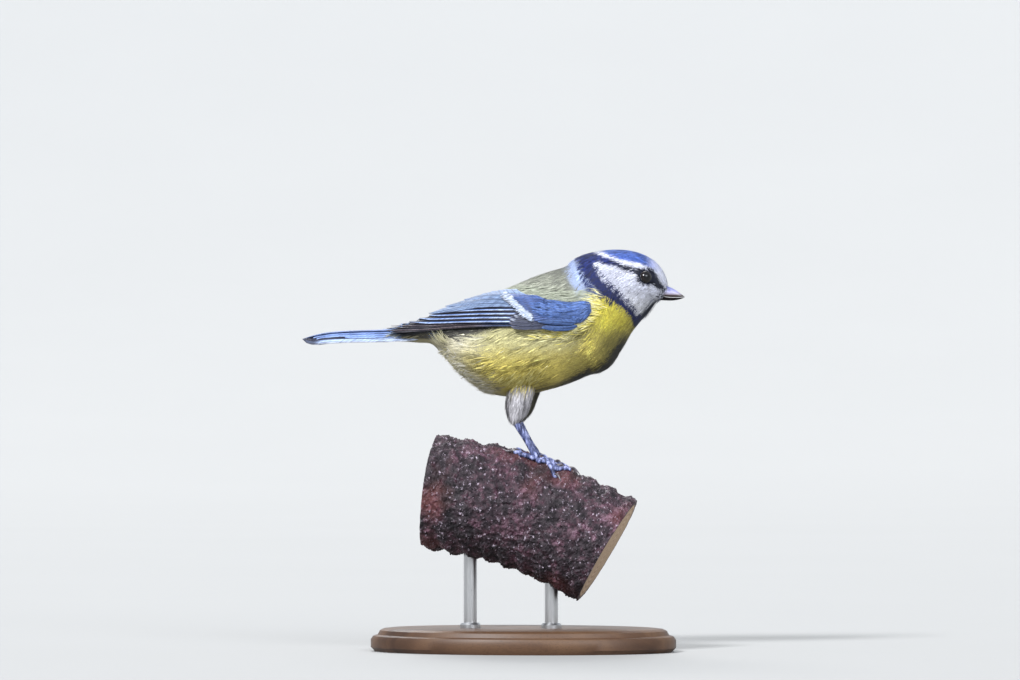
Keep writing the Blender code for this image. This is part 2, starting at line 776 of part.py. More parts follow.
def make_branch_and_stand():
    """The cut length of branch, its oval base and the two rods between them."""
    points, faces = skin_rings(branch_rings(bark_waves(), BRANCH_RINGS, BRANCH_SIDES))
    branch = object_of("perch", points, faces, "bark")
    surface = tree_of(points, faces)
    shell = bmesh.new()
    bmesh.ops.create_cone(shell, cap_ends=True, segments=BASE_SIDES, radius1=0.5, radius2=0.5,
                          depth=1.0)
    size = Vector((BASE_LENGTH, BASE_WIDTH, BASE_THICK)) * MM
    bmesh.ops.scale(shell, vec=size, verts=shell.verts)
    bmesh.ops.translate(shell, vec=Vector((BASE_X, 0.0, BASE_THICK / 2)) * MM, verts=shell.verts)
    rim = [edge for edge in shell.edges
           if all(abs(vert.co.z - BASE_THICK * MM) < 1e-6 for vert in edge.verts)]
    bmesh.ops.bevel(shell, geom=rim, offset=BASE_BEVEL * MM, offset_type="OFFSET", segments=3,
                    profile=0.5, affect="EDGES", material=-1)
    mesh = bpy.data.meshes.new("stand_base")
    shell.to_mesh(mesh)
    shell.free()
    base = bpy.data.objects.new("stand_base", mesh)
    bpy.context.scene.collection.objects.link(base)
    mesh.materials.append(material("wood", 0.45))
    holes, sockets = [], []
    for name, x in ROD_PLACES.items():
        start = Vector((x - FOOT_X, 0.0, -60.0))
        under, _, _, _ = surface.ray_cast(start, Vector((0.0, 0.0, 1.0)))
        high = under.z + FOOT_HEIGHT + ROD_SUNK
        low = BASE_THICK - ROD_SUNK
        rod = rod_hole(name, x, low, high, ROD_RADIUS)
        rod.data.materials.append(material("steel", 0.3, 1.0))
        smooth(rod)
        holes.append(rod_hole("hole", x, under.z + FOOT_HEIGHT - 8, high + GAP, ROD_RADIUS + GAP))
        sockets.append(rod_hole("hole", x, low - GAP, BASE_THICK + 5, ROD_RADIUS + GAP))
    cut(branch, holes)
    cut(base, sockets)
    smooth(branch, 60.0)
    smooth(base)
    return surface


def toe_path(surface, start, heading, length, radius, steps):
    """Points along a toe that lies on the bark, one radius and a gap above it."""
    path = []
    for step in range(steps + 1):
        reach = length * step / steps
        above = start + heading * reach + Vector((0.0, 0.0, 20.0))
        point, outward, _, _ = surface.ray_cast(above, Vector((0.0, 0.0, -1.0)))
        path.append(point + outward * (radius(step / steps) + TOE_LIFT))
    return path


def make_foot(name, side, surface, hub, up):
    """Three front toes and the hind toe, each with its claw, joined below the shank."""
    foot = ball(name, hub, HUB_RADIUS, 2, "leg")
    stub = [hub, hub + up * STUB_LENGTH * 0.6, hub + up * STUB_LENGTH]
    pieces = [tube("stub", stub, [(1.0, 1.1), (0.9, 1.0), SHANK_LOW], SHANK_SIDES)]
    for turn, length, thick, thin, claw in TOES:
        angle = math.radians(turn * -side)
        heading = Vector((math.cos(angle), math.sin(angle), 0.0))

        def radius(share):
            return thick + (thin - thick) * share + KNUCKLE * math.sin(3 * math.pi * share) ** 2

        steps = 6
        path = toe_path(surface, hub, heading, length, radius, steps)
        path[0] = hub.copy()
        radii = [(radius(step / steps),) * 2 for step in range(steps + 1)]
        pieces.append(tube("toe", path, radii, TOE_SIDES, hint=(0.3, 1.0, 0.2)))
        ahead = (path[-1] - path[-2]).normalized()
        root = path[-1] - ahead * 0.5
        arc, sizes = [], []
        for step in range(6):
            share = step / 5
            drop = Vector((0.0, 0.0, -1.0)) * claw * (0.5 * share ** 2)
            point = root + ahead * claw * (0.95 * share) + drop + Vector((0.0, 0.0, 0.25))
            size = 0.46 * (1 - share) ** 0.7 + 0.09
            near, outward, _, _ = surface.find_nearest(point)
            if (point - near).dot(outward) < size + TOE_LIFT:
                point = near + outward * (size + TOE_LIFT)
            arc.append(point)
            sizes.append((size, size * 1.15))
        pieces.append(tube("claw", arc, sizes, 6, hint=(0.3, 1.0, 0.2)))
    fuse(foot, pieces)
    keep_largest(foot)
    smooth(foot)


def make_legs(surface):
    for word, side in (("right", -1), ("left", 1)):
        shifts = LEFT_LEG_SHIFT if side > 0 else (0.0, 0.0, 0.0)
        hip, ankle, hub = (Vector((x + shift, side * y, z))
                           for (x, z, y), shift in zip((HIP, ANKLE, HUB), shifts))
        ground, _, _, _ = surface.ray_cast(hub + Vector((0.0, 0.0, 20.0)), Vector((0.0, 0.0, -1.0)))
        hub.z = ground.z + HUB_RADIUS + TOE_LIFT
        up = (ankle - hub).normalized()
        path = [hip.lerp(ankle, share) for share, _, _ in THIGH] + [ankle - up * HEEL]
        radii = [(deep, wide) for _, wide, deep in THIGH] + [SHANK_TOP]
        thigh = tube("thigh_" + word, path, radii, 16, "grey")
        rings = [ring for ring, _ in body_rings(0, 12, 48, 0.5, GAP)]
        cut(thigh, [object_of("belly", *skin_rings(rings))])
        keep_largest(thigh)
        smooth(thigh)
        top, low = ankle - up * (HEEL + GAP), hub + up * (STUB_LENGTH + GAP)
        shank = [top.lerp(low, share) for share in (0.0, 0.12, 0.5, 1.0)]
        sizes = [SHANK_TOP, (0.9, 0.98), SHANK_MIDDLE, SHANK_LOW]
        smooth(tube("shank_" + word, shank, sizes, SHANK_SIDES, "leg"))
        make_foot("foot_" + word, side, surface, hub, up)


def main():
    clear_scene()
    body_piece("torso", 0, NECK_PLACE, "yellow", False, True)
    body_piece("neck", NECK_PLACE, HEAD_PLACE, "blue", True, True)
    make_head()
    make_bill()
    bed = wing_bed()
    make_wing("wing_right", -1, bed)
    make_wing("wing_left", 1, bed)
    make_tail()
    surface = make_branch_and_stand()
    make_legs(surface)


main()
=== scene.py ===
import math
import random

import bmesh
import bpy
import numpy as np
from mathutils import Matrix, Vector, noise
from mathutils.bvhtree import BVHTree


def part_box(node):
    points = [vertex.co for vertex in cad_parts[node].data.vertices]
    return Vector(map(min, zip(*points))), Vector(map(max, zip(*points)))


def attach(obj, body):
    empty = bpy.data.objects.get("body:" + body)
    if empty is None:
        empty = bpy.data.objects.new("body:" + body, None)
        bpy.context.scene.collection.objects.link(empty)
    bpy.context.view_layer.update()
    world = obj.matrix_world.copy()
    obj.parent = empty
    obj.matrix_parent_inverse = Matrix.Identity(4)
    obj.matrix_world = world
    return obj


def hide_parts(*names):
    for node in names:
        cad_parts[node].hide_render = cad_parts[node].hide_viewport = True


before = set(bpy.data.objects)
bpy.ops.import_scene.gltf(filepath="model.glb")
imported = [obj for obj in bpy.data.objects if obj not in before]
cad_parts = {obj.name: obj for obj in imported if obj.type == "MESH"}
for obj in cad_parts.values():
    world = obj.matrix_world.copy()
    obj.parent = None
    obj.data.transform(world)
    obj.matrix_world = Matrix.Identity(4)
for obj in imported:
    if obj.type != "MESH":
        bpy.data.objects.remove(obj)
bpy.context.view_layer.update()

# Places on the bird are in millimetres from the top of the branch under its feet,
# +X the way it faces and -Y its right side
mm = 0.001
tau = 2 * math.pi
home = np.array((14.0, 0.0, 58.0))     # where the branch's top lies in the model
sideLean = 0.123                       # how far the photo's view turns towards the bird's face
bothSides = (("right", -1), ("left", 1))


def toModel(points):
    return (np.asarray(points, float) + home) * mm


def flatPair(place, angle):
    place, angle = np.broadcast_arrays(np.asarray(place, float), np.asarray(angle, float))
    return place.ravel(), angle.ravel()


def curveThrough(rows, place):
    # a smooth curve through the rows, read at fractional places
    table = np.asarray(rows, float).reshape(len(rows), -1)
    table = np.vstack([2 * table[0] - table[1], table, 2 * table[-1] - table[-2]])
    place = np.atleast_1d(np.asarray(place, float))
    step = np.clip(place.astype(int), 0, len(rows) - 2)
    t = (place - step)[:, None]
    a, b, c, d = (table[step + shift] for shift in range(4))
    return 0.5 * (2 * b + (c - a) * t + (2 * a - 5 * b + 4 * c - d) * t * t
                  + (3 * b - a - 3 * c + d) * t ** 3)


def partWay(line, share):
    return curveThrough(line, np.asarray(share, float) * (len(line) - 1))


def rise(value, start=0.0, width=1.0):
    # smoothly from 0 at the start to 1 a width further on
    value = np.clip((value - start) / width, 0.0, 1.0)
    return value * value * (3 - 2 * value)


def unit(vectors):
    return vectors / np.maximum(np.linalg.norm(vectors, axis=-1, keepdims=True), 1e-12)


def squareTo(axes, vectors):
    return unit(vectors - axes * np.sum(vectors * axes, axis=1)[:, None])


def mix(first, second, share):
    share = np.asarray(share, float)[..., None]
    return np.asarray(first, float) * (1 - share) + np.asarray(second, float) * share


def noiseAt(points, scale=1.0):
    return np.array([noise.noise(Vector(point) * scale) for point in points])


def seenFlat(points):
    # places as the photo's view shows them, the far side mirrored
    return np.stack([points[:, 0] - sideLean * np.abs(points[:, 1]), points[:, 2]], 1)


# The body's sections from the rear of the tail coverts to the bill: top x and z, bottom
# x and z, half width, how far down it is widest, and how square it is
bodyShape = {
    "rows": (
        (-41.5, 39.9, -41, 35.2, 3.6, 0.45, 1), (-37.6, 40.8, -37.2, 34.2, 4.4, 0.45, 1),
        (-33, 41.2, -33, 33.8, 4.8, 0.45, 1), (-29.6, 42.1, -30.4, 31.6, 6.4, 0.5, 1),
        (-25.8, 44, -27.4, 28.2, 9.4, 0.54, 1), (-21.5, 45.6, -23.2, 23.9, 12.6, 0.56, 1),
        (-17, 46.9, -18.2, 20.4, 14.9, 0.56, 0.98), (-12.8, 48.6, -13.4, 18.4, 16.1, 0.55, 0.96),
        (-8.6, 51.4, -8.6, 17.9, 16.8, 0.54, 0.96), (-4.2, 53.6, -3.6, 18.5, 17.1, 0.53, 0.96),
        (0.2, 55.4, 2, 19.8, 16.9, 0.53, 0.96), (4.2, 56.7, 8.2, 21.6, 16.2, 0.53, 0.97),
        (7.4, 57.7, 14.6, 24.7, 15.1, 0.53, 0.98), (9.4, 58.9, 20.4, 27.5, 13.7, 0.54, 1),
        (11, 60.2, 24.6, 33, 12.3, 0.55, 1), (13.6, 61.3, 27.6, 37.4, 11.2, 0.55, 1),
        (17.2, 62.1, 30.4, 40.6, 10.6, 0.53, 1), (21.2, 62.6, 32.7, 43.2, 10.4, 0.51, 1),
        (25.2, 62.55, 34.3, 45.4, 10.1, 0.5, 1), (28.8, 61.9, 35.3, 46.7, 9.4, 0.5, 1),
        (32, 60.7, 35.9, 47.1, 8.3, 0.5, 1), (34.7, 59, 36.2, 47.25, 6.9, 0.51, 1),
        (36.6, 56.9, 36.4, 47.35, 5.3, 0.53, 1), (37.9, 54.4, 36.6, 47.4, 3.7, 0.56, 1),
        (38.5, 52.3, 36.8, 47.4, 2.4, 0.58, 1),
    ),
    # the coat's own rows 12 to 15, fluffed out where the breast turns under the throat
    "fluffed": ((7.4, 57.7, 14.8, 24.2, 15.1, 0.53, 0.98), (9.4, 58.9, 21.1, 26.6, 13.7, 0.54, 1),
                (11, 60.2, 25.2, 32.5, 12.3, 0.55, 1), (13.6, 61.3, 27.8, 37.2, 11.2, 0.55, 1)),
    "neck": 14.5,          # the row where the head's finer plumage begins
    # how deep the skin lies under the solids' surface, by row
    "coatDepth": ((0, 2, 6, 12, 16, 19, 22, 24), (0.4, 0.5, 0.6, 0.5, 0.35, 0.3, 0.22, 0.1)),
    "skinGrid": (96, 150),
    "underTone": 0.6,      # the skin's tint against the plumage over it
}
lastRow = len(bodyShape["rows"]) - 1
coatRows = bodyShape["rows"][:12] + bodyShape["fluffed"] + bodyShape["rows"][16:]


def bodyAt(place, angle, inset=0.0, rows=bodyShape["rows"]):
    # a point on the body: place along its rows, angle from the top round its right side
    place, angle = flatPair(place, angle)
    topX, topZ, lowX, lowZ, half, widest, square = curveThrough(rows, place).T
    depth = np.hypot(lowX - topX, lowZ - topZ)
    downX, downZ = (lowX - topX) / depth, (lowZ - topZ) / depth
    topX, topZ = topX + downX * inset, topZ + downZ * inset
    depth, half = depth - 2 * inset, half - inset
    turn, side = np.cos(angle), np.sin(angle)
    fall = widest - np.where(turn > 0, widest, 1 - widest) * turn
    side = half * np.sign(side) * np.abs(side) ** square
    return np.stack([topX + downX * depth * fall, -side, topZ + downZ * depth * fall], 1)


def coatDepthAt(place):
    return np.interp(np.ravel(place), *bodyShape["coatDepth"])


def surfaceFrame(surface, place, angle, farAlong, farAround):
    # the point on any two-way surface, the way out of it and the way along it
    along = surface(place + farAlong, angle) - surface(place - farAlong, angle)
    around = surface(place, angle + farAround) - surface(place, angle - farAround)
    return surface(place, angle), unit(np.cross(along, around)), unit(along)


def treeOf(surface, across, along, last):
    # the surface as rays can hit it
    places, angles = np.meshgrid(np.linspace(0, last, along + 1),
                                 np.linspace(0, tau, across, endpoint=False), indexing="ij")
    row, step = np.divmod(np.arange(along * across), across)
    a, b = row * across + step, row * across + (step + 1) % across
    faces = np.stack([a, b, b + across, a + across], 1).tolist()
    return BVHTree.FromPolygons([Vector(point) for point in surface(places, angles)], faces)


# Meshes

def newObject(name, data):
    made = bpy.data.objects.new(name, data)
    bpy.context.scene.collection.objects.link(made)
    return made


def keep(name, shell, materials):
    mesh = bpy.data.meshes.new(name)
    shell.to_mesh(mesh)
    shell.free()
    piece = newObject(name, mesh)
    for made in materials:
        mesh.materials.append(made)
    mesh.shade_smooth()
    return piece


def layerOf(layers, name):
    return layers.get(name) or layers.new(name)


def wrappedGrid(shell, across, along, place, capEnds=True, uvBox=(0, 0, 1, 1)):
    # a grid laid over a shape: place(u, v) gives its points in the model's metres
    uv = layerOf(shell.loops.layers.uv, "OFBake")
    old = len(shell.verts)
    made = bmesh.ops.create_grid(shell, x_segments=across, y_segments=along, size=0.5,
                                 calc_uvs=True)["verts"]
    spots = np.array([vert.co for vert in made])[:, :2] + 0.5
    for vert, point in zip(made, place(spots[:, 0], spots[:, 1])):
        vert.co = point
    for face in {face for vert in made for face in vert.link_faces}:
        for loop in face.loops:
            u, v = loop[uv].uv
            loop[uv].uv = (uvBox[0] + u * (uvBox[2] - uvBox[0]),
                           uvBox[1] + v * (uvBox[3] - uvBox[1]))
    bmesh.ops.remove_doubles(shell, verts=made, dist=1e-7)
    shell.verts.ensure_lookup_table()
    fresh = [vert for vert in shell.verts[old:] if vert.is_valid]
    if capEnds:
        rims = {edge for vert in fresh for edge in vert.link_edges if edge.is_boundary}
        bmesh.ops.holes_fill(shell, edges=list(rims), sides=0)
    faces = list({face for vert in fresh for face in vert.link_faces})
    bmesh.ops.recalc_face_normals(shell, faces=faces)


def gridPiece(name, finishes, across, along, place, **more):
    shell = bmesh.new()
    wrappedGrid(shell, across, along, place, **more)
    return keep(name, shell, finishes)


def spunShape(profile, steps, size=mm, weld=1e-7, x=0.0, wide=1.0):
    # a profile of radius and height turned about an upright axis
    shell = bmesh.new()
    verts = [shell.verts.new((radius * size, 0.0, height * size)) for radius, height in profile]
    edges = [shell.edges.new(pair) for pair in zip(verts, verts[1:])]
    bmesh.ops.spin(shell, geom=verts + edges, axis=(0, 0, 1), cent=(0, 0, 0), steps=steps,
                   angle=tau, use_merge=True, use_duplicate=False)
    bmesh.ops.remove_doubles(shell, verts=shell.verts, dist=weld)
    bmesh.ops.scale(shell, vec=(1.0, wide, 1.0), verts=shell.verts)
    bmesh.ops.translate(shell, vec=Vector((x, 0.0, 0.0)) * mm, verts=shell.verts)
    bmesh.ops.recalc_face_normals(shell, faces=shell.faces)
    return shell


def paint(piece, colours):
    layer = piece.data.attributes.new("tint", "FLOAT_COLOR", "POINT")
    data = np.ones((len(piece.data.vertices), 4), np.float32)
    data[:, :3] = np.clip(colours, 0.0, 1.0)
    layer.data.foreach_set("color", data.ravel())


def settle(piece, slot, *nodes):
    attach(piece, "root")
    if nodes:
        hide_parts(*nodes)
    return piece


# Finishes

def newFinish(name, **fixed):
    made = bpy.data.materials.new(name)
    made.use_nodes = True
    for socket, value in fixed.items():
        made.node_tree.nodes["Principled BSDF"].inputs[socket.replace("_", " ")].default_value = value
    return made, made.node_tree


def addNode(tree, kind, inputs, out=0, **settings):
    # a node with its inputs set or linked, and the output asked for
    node = tree.nodes.new("ShaderNode" + kind)
    for key, value in settings.items():
        setattr(node, key, value)
    for socket, value in inputs.items():
        if isinstance(value, bpy.types.NodeSocket):
            tree.links.new(value, node.inputs[socket])
        else:
            node.inputs[socket].default_value = value
    return node.outputs[out]


def place3(tree):
    return addNode(tree, "TexCoord", {}, "Object")


def tintOf(tree):
    return addNode(tree, "Attribute", {}, "Color", attribute_name="tint")


def grainOf(tree, scale, detail, stretch=None, where=None, **more):
    where = where or place3(tree)
    if stretch:
        where = addNode(tree, "Mapping", {"Vector": where, "Scale": stretch})
    return addNode(tree, "TexNoise", {"Vector": where, "Scale": scale, "Detail": detail, **more})


def worked(tree, way, *values):
    return addNode(tree, "Math", dict(enumerate(values)), operation=way)


def ranged(tree, value, toMin=0.0, toMax=1.0, fromMin=0.0, fromMax=1.0):
    return addNode(tree, "MapRange", {"Value": value, "From Min": fromMin, "From Max": fromMax,
                                      "To Min": toMin, "To Max": toMax})


def ramp(tree, value, *stops):
    tone = addNode(tree, "ValToRGB", {"Fac": value})
    marks = tone.node.color_ramp.elements
    while len(marks) < len(stops):
        marks.new(0.5)
    for mark, (place, colour) in zip(marks, stops):
        mark.position = place
        mark.color = (*colour, 1.0)
    return tone


def blend(tree, share, first, second, way="MIX"):
    first, second = ((*tone, 1.0) if isinstance(tone, tuple) else tone for tone in (first, second))
    return addNode(tree, "Mix", {0: share, 6: first, 7: second}, 2, data_type="RGBA",
                   blend_type=way)


def shaded(tree, tone, value, low, dark, high):
    # the tone, darkened where the value is low
    return blend(tree, 1.0, tone, ramp(tree, value, (low, dark), (high, (1.0, 1.0, 1.0))), "MULTIPLY")


def dress(made, tone, rough=None, relief=None):
    # the colour, then a value with the roughness or with the strength and depth it gives
    tree = made.node_tree
    sockets = tree.nodes["Principled BSDF"].inputs
    tree.links.new(tone, sockets["Base Color"])
    if rough:
        tree.links.new(ranged(tree, *rough), sockets["Roughness"])
    if relief:
        labels = ("Height", "Strength", "Distance")
        tree.links.new(addNode(tree, "Bump", dict(zip(labels, relief))), sockets["Normal"])
    return made


def grainFinish(name, grain, stops, rough=(), relief=(), **fixed):
    # one grain sets the colour, the roughness and the relief
    made, tree = newFinish(name, **fixed)
    grain = grainOf(tree, *grain)
    return dress(made, ramp(tree, grain, *stops), rough and (grain, *rough),
                 relief and (grain, *relief))


def plumageFinish(name):
    # the barbs' own tint, broken by fine light and dark flecks
    made, tree = newFinish(name, Sheen_Weight=0.04, Sheen_Roughness=0.5, Specular_IOR_Level=0.16)
    fleck = grainOf(tree, 1900.0, 2.0)
    tone = shaded(tree, tintOf(tree), fleck, 0.3, (0.8, 0.8, 0.8), 0.7)
    return dress(made, tone, (fleck, 0.56, 0.78), (fleck, 0.25, 0.0001))


# The markings, as seen from the side the photo shows and mirrored on the other

plumage = {
    "face": (0.80, 0.82, 0.97),
    "cheek": (0.93, 0.94, 1.0),
    "brow": (0.83, 0.84, 1.0),
    "cap": (0.070, 0.135, 0.46),
    "capTop": (0.13, 0.22, 0.58),
    "stripe": (0.012, 0.015, 0.040),
    "collar": (0.016, 0.028, 0.150),
    "bib": (0.010, 0.016, 0.045),
    "nape": (0.45, 0.55, 0.84),
    "mantle": (0.32, 0.33, 0.265),
    "rump": (0.25, 0.36, 0.36),
    "tailCoverts": (0.15, 0.24, 0.44),
    "wingBlue": (0.066, 0.119, 0.31),
    "bright": (0.97, 0.83, 0.098),
    "breast": (0.50, 0.43, 0.105),
    "side": (0.68, 0.63, 0.31),
    "belly": (0.81, 0.67, 0.165),
    "keelSide": (0.17, 0.13, 0.020),
    "flank": (0.68, 0.64, 0.50),
    "rear": (0.50, 0.45, 0.26),
    "fluff": (0.53, 0.49, 0.36),
    # painted shade beneath the tail's base, a dark olive
    "undertail": (0.17, 0.14, 0.06),
    "keel": (0.020, 0.024, 0.045),
    # painted shade under the folded wing
    "shade": (0.040, 0.038, 0.042),
    "down": (0.16, 0.16, 0.18),
    "skinLeg": (0.30, 0.30, 0.33),
    "capEdge": ((16.8, 62.2), (18.6, 61.5), (20.3, 60.5), (23.2, 59.3), (26.4, 58.7),
                (29.8, 58.1), (32.4, 57.1), (34.6, 55.9), (36.4, 56.2), (35.4, 60), (31, 64.5),
                (24, 66), (16.8, 65)),
    "wingFront": ((4, 47), (9.5, 46.6), (16.4, 47.8), (17, 44.6), (15.2, 41.6), (12.4, 38.8),
                  (4, 38)),
    "underWing": ((12.6, 45.8), (9, 40.2), (-8, 39.8), (-30, 39.8), (-32, 41), (-20, 45),
                  (-8, 47), (4, 46.4)),
    # middle line x and z, and half width
    "stripeLine": ((37.6, 50.2, 0.45), (36.4, 51, 0.7), (35, 52.2, 1), (33.8, 53.3, 1.5),
                   (32.1, 54.4, 2.5), (30.4, 55, 1.8), (29.2, 55.3, 1.25), (27.8, 55.8, 0.9),
                   (25.6, 56.5, 0.75), (23.6, 57.2, 0.85), (21.4, 58, 1.05), (19.2, 58.8, 1.2),
                   (17, 59.5, 1.3), (14.4, 60.4, 1.8)),
    "collarLine": ((13.2, 60.6, 2.4), (13.4, 58.1, 2.6), (13.8, 55.8, 2.6), (15, 53.6, 2.5),
                   (16.9, 51.4, 2.45), (19.2, 49.3, 2.3), (21.7, 47.3, 2), (24.1, 45.4, 1.65),
                   (26, 43.6, 1.5), (27.4, 41.8, 1.5), (28.6, 39.9, 1.8)),
    "bibLine": ((37.2, 47.9, 0.5), (35.6, 46.6, 0.9), (33.8, 44.9, 1.15), (32.2, 43, 1.4),
                (30.2, 41.1, 1.7), (28.6, 39.5, 2)),
    "gapeLine": ((37.4, 50.2, 0.6), (36.4, 48.8, 0.9), (34.4, 46.8, 0.6), (32.6, 44.6, 0.5)),
    "napeLine": ((8.3, 59.6, 2.5), (8.9, 56.6, 2.3), (10.6, 53.4, 1.9), (12.8, 50.2, 1.3),
                 (15.6, 47.6, 0.8)),
    # by x: the tones along the side and along the belly
    "underX": (-40, -32, -25, -16, -6, 6, 13, 18, 23, 30),
    "sides": ("rear", "rear", "flank", "side", "side", "side", "breast", "bright", "bright",
              "breast"),
    "lows": ("undertail", "undertail", "rear", "belly", "belly", "belly", "belly", "breast",
             "breast", "belly"),
    # x and z of the line between those two, the rear's lower edge, where yellow gives way
    # to the mantle, and the lower edge of the painted shade, over dark down, under the folded wing
    "middle": ((-30, -10, 8, 22), (33, 31, 31.5, 37)),
    "rearEdge": ((-40, -30, -22, -14, -8), (35, 31, 24.5, 19.5, 18)),
    "yellowTop": ((-42, -30, -10, 8, 13, 17, 19, 30), (36.6, 38.4, 40, 40, 43, 46.4, 48, 52)),
    "shelter": ((-42, -30, -18, -8), (34.6, 35.2, 36.9, 38.8)),
}


def nearStep(spots, start, step):
    # the nearest share of one step of a line, and how far away the line is
    share = np.clip((spots - start) @ step / (step @ step), 0, 1)
    return share, np.linalg.norm(spots - start - share[:, None] * step, axis=1)


def bandDepth(spots, name):
    # how far inside a band each spot lies, the band drawn by a line with half widths
    line = np.array(plumage[name], float)
    best = np.full(len(spots), -99.0)
    for start, end in zip(line[:-1], line[1:]):
        share, away = nearStep(spots, start[:2], end[:2] - start[:2])
        best = np.maximum(best, start[2] + (end[2] - start[2]) * share - away)
    return best


def outlineDepth(spots, name):
    # how far inside an outline each spot lies, less than 0 outside it
    outline = np.array(plumage[name], float)
    inside = np.zeros(len(spots), bool)
    away = np.full(len(spots), 99.0)
    for start, end in zip(outline, np.roll(outline, -1, axis=0)):
        step = end - start
        away = np.minimum(away, nearStep(spots, start, step)[1])
        crosses = (start[1] > spots[:, 1]) != (end[1] > spots[:, 1])
        climb = step[1] if abs(step[1]) > 1e-9 else 1e-9
        inside ^= crosses & (spots[:, 0] < start[0] + (spots[:, 1] - start[1]) * step[0] / climb)
    return np.where(inside, away, -away)


def markings(points, jitter=0.0):
    # the plumage's colour at these places, with edges as ragged as the jitter
    spots, wide = seenFlat(points), np.abs(points[:, 1])
    x, z = spots.T
    ragged = np.random.default_rng(5).normal(0.0, 1.0, (len(points), 8)) * jitter
    tone = plumage

    def soft(depth, width, column):
        return rise((depth + ragged[:, column]) / width + 0.5)

    # underparts: bright on the breast, pale along the side, olive below, whitish to the rear, and
    # painted shade under the tail's base
    side, below = (np.stack([np.interp(x, tone["underX"], [tone[name][i] for name in tone[row]])
                             for i in range(3)], 1) for row in ("sides", "lows"))
    drift = ragged[:, 0] * 3.0
    middle = np.interp(x, *tone["middle"])
    under = mix(side, below, rise((middle - z + drift) / 7.0 + 0.5))
    deep = rise(25.0 - z + drift, 0, 6) * rise(x, -18, 12)
    under = mix(under, tone["keelSide"], 0.75 * deep)
    fringed = rise(4.2 - (z - np.interp(x, *tone["rearEdge"])), 0, 3)
    under = mix(under, tone["fluff"], 0.8 * fringed * rise(x, -9.5, -6) * rise(x, -33, 4))
    keel = rise((7.4 - wide) / 2.2 + ragged[:, 1] * 2) * rise(x, 2, 6) * rise(z, 37, -6)
    under = mix(under, tone["keel"], 0.9 * keel)
    # upperparts
    over = mix(tone["tailCoverts"], tone["rump"], rise(x, -38, 8))
    over = mix(over, tone["mantle"], rise(x, -24, 12))
    colour = mix(over, under, soft(np.interp(x, *tone["yellowTop"]) - z, 1.2, 2))
    colour = mix(colour, tone["wingBlue"], soft(outlineDepth(spots, "wingFront"), 0.8, 3))
    # painted shade over dark down, in the shelter of the folded wing
    wingShade = rise(z - np.interp(x, *tone["shelter"]) + ragged[:, 3] * 3)
    wingShade = wingShade * rise(x, -9, -5) * rise(wide, 2.5, 1)
    colour = mix(colour, tone["shade"], 0.90 * wingShade)
    # head and neck
    collarX, collarZ, _ = np.array(tone["collarLine"])[::-1].T
    ahead = soft(x - np.interp(z, collarZ, collarX), 0.5, 5)
    colour = mix(colour, tone["nape"], 0.9 * soft(bandDepth(spots, "napeLine"), 1.8, 4))
    face = mix(tone["cheek"], tone["face"], rise(z, 43, 9))
    colour = mix(colour, mix(face, tone["brow"], rise(z, 56.5, 2)), ahead)
    colour = mix(colour, tone["bib"], soft(bandDepth(spots, "bibLine"), 0.45, 6))
    if jitter:
        # dark mottling at the gape and faint grey flecks over the cheek
        speckle = noiseAt(points, 1.5)
        mottled = bandDepth(spots, "gapeLine") + 2.2 * speckle
        colour = mix(colour, tone["bib"], rise((mottled - 0.35) / 0.3 + 0.5))
        colour = colour * (1 - 0.42 * ahead * rise(z, 57, -3) * rise(speckle, 0.24, 0.1))[:, None]
    colour = mix(colour, tone["collar"], soft(bandDepth(spots, "collarLine"), 0.45, 5))
    cap = mix(tone["cap"], tone["capTop"], rise(z, 60.6, 2))
    cap = mix(cap, tone["brow"], 0.8 * rise(x, 30.5, 5.5))
    colour = mix(colour, cap, soft(outlineDepth(spots, "capEdge"), 0.5, 7))
    stripe = bandDepth(spots, "stripeLine") + ragged[:, 2] * 0.8
    return mix(colour, mix(tone["collar"], tone["stripe"], rise(x, 20, 5)), soft(stripe, 0.35, 6))


# The skin under the plumage: head, neck, body and feathered thighs as one piece

legShape = {
    "hip": (-4.2, 6.4, 23.5),
    "ankle": (-6.9, 6.2, 11.6),
    "hub": (-0.4, 5.2, 2.35),
    "leftShift": (0.4, -0.6, -1.3),      # how far ahead the left hip, ankle and hub lie
    # share of the way down, half width and half depth
    "thigh": ((0, 4.6, 4.2), (0.35, 4.3, 3.8), (0.62, 3.9, 3.3), (0.84, 2.9, 2.5), (1, 1.4, 1.4)),
    "thighGrid": (32, 24),
    "coat": 0.6,
    "tufts": 4200,
    "grey": (0.49, 0.475, 0.50),
    # the dark olive facing the body, partly the feathers' own and partly painted shade
    "inner": (0.055, 0.050, 0.022),
}
thighEnd = len(legShape["thigh"]) - 1


def legPoints(side):
    shifts = legShape["leftShift"] if side > 0 else (0.0, 0.0, 0.0)
    return [np.array((legShape[name][0] + shift, side * legShape[name][1], legShape[name][2]))
            for name, shift in zip(("hip", "ankle", "hub"), shifts)]


def thighAt(side, inset=0.0):
    hip, ankle, _ = legPoints(side)
    rows = [(share, wide - inset, deep - inset) for share, wide, deep in legShape["thigh"]]
    ahead = unit(ankle - hip)
    across = unit(np.array((0.0, 1.0, 0.0)) - ahead * ahead[1])
    over = np.cross(ahead, across)

    def surface(place, angle):
        place, angle = flatPair(place, angle)
        share, wide, deep = curveThrough(rows, place).T
        return (hip + (ankle - hip) * share[:, None] + across * (deep * np.cos(angle))[:, None]
                + over * (wide * np.sin(angle))[:, None])

    return surface


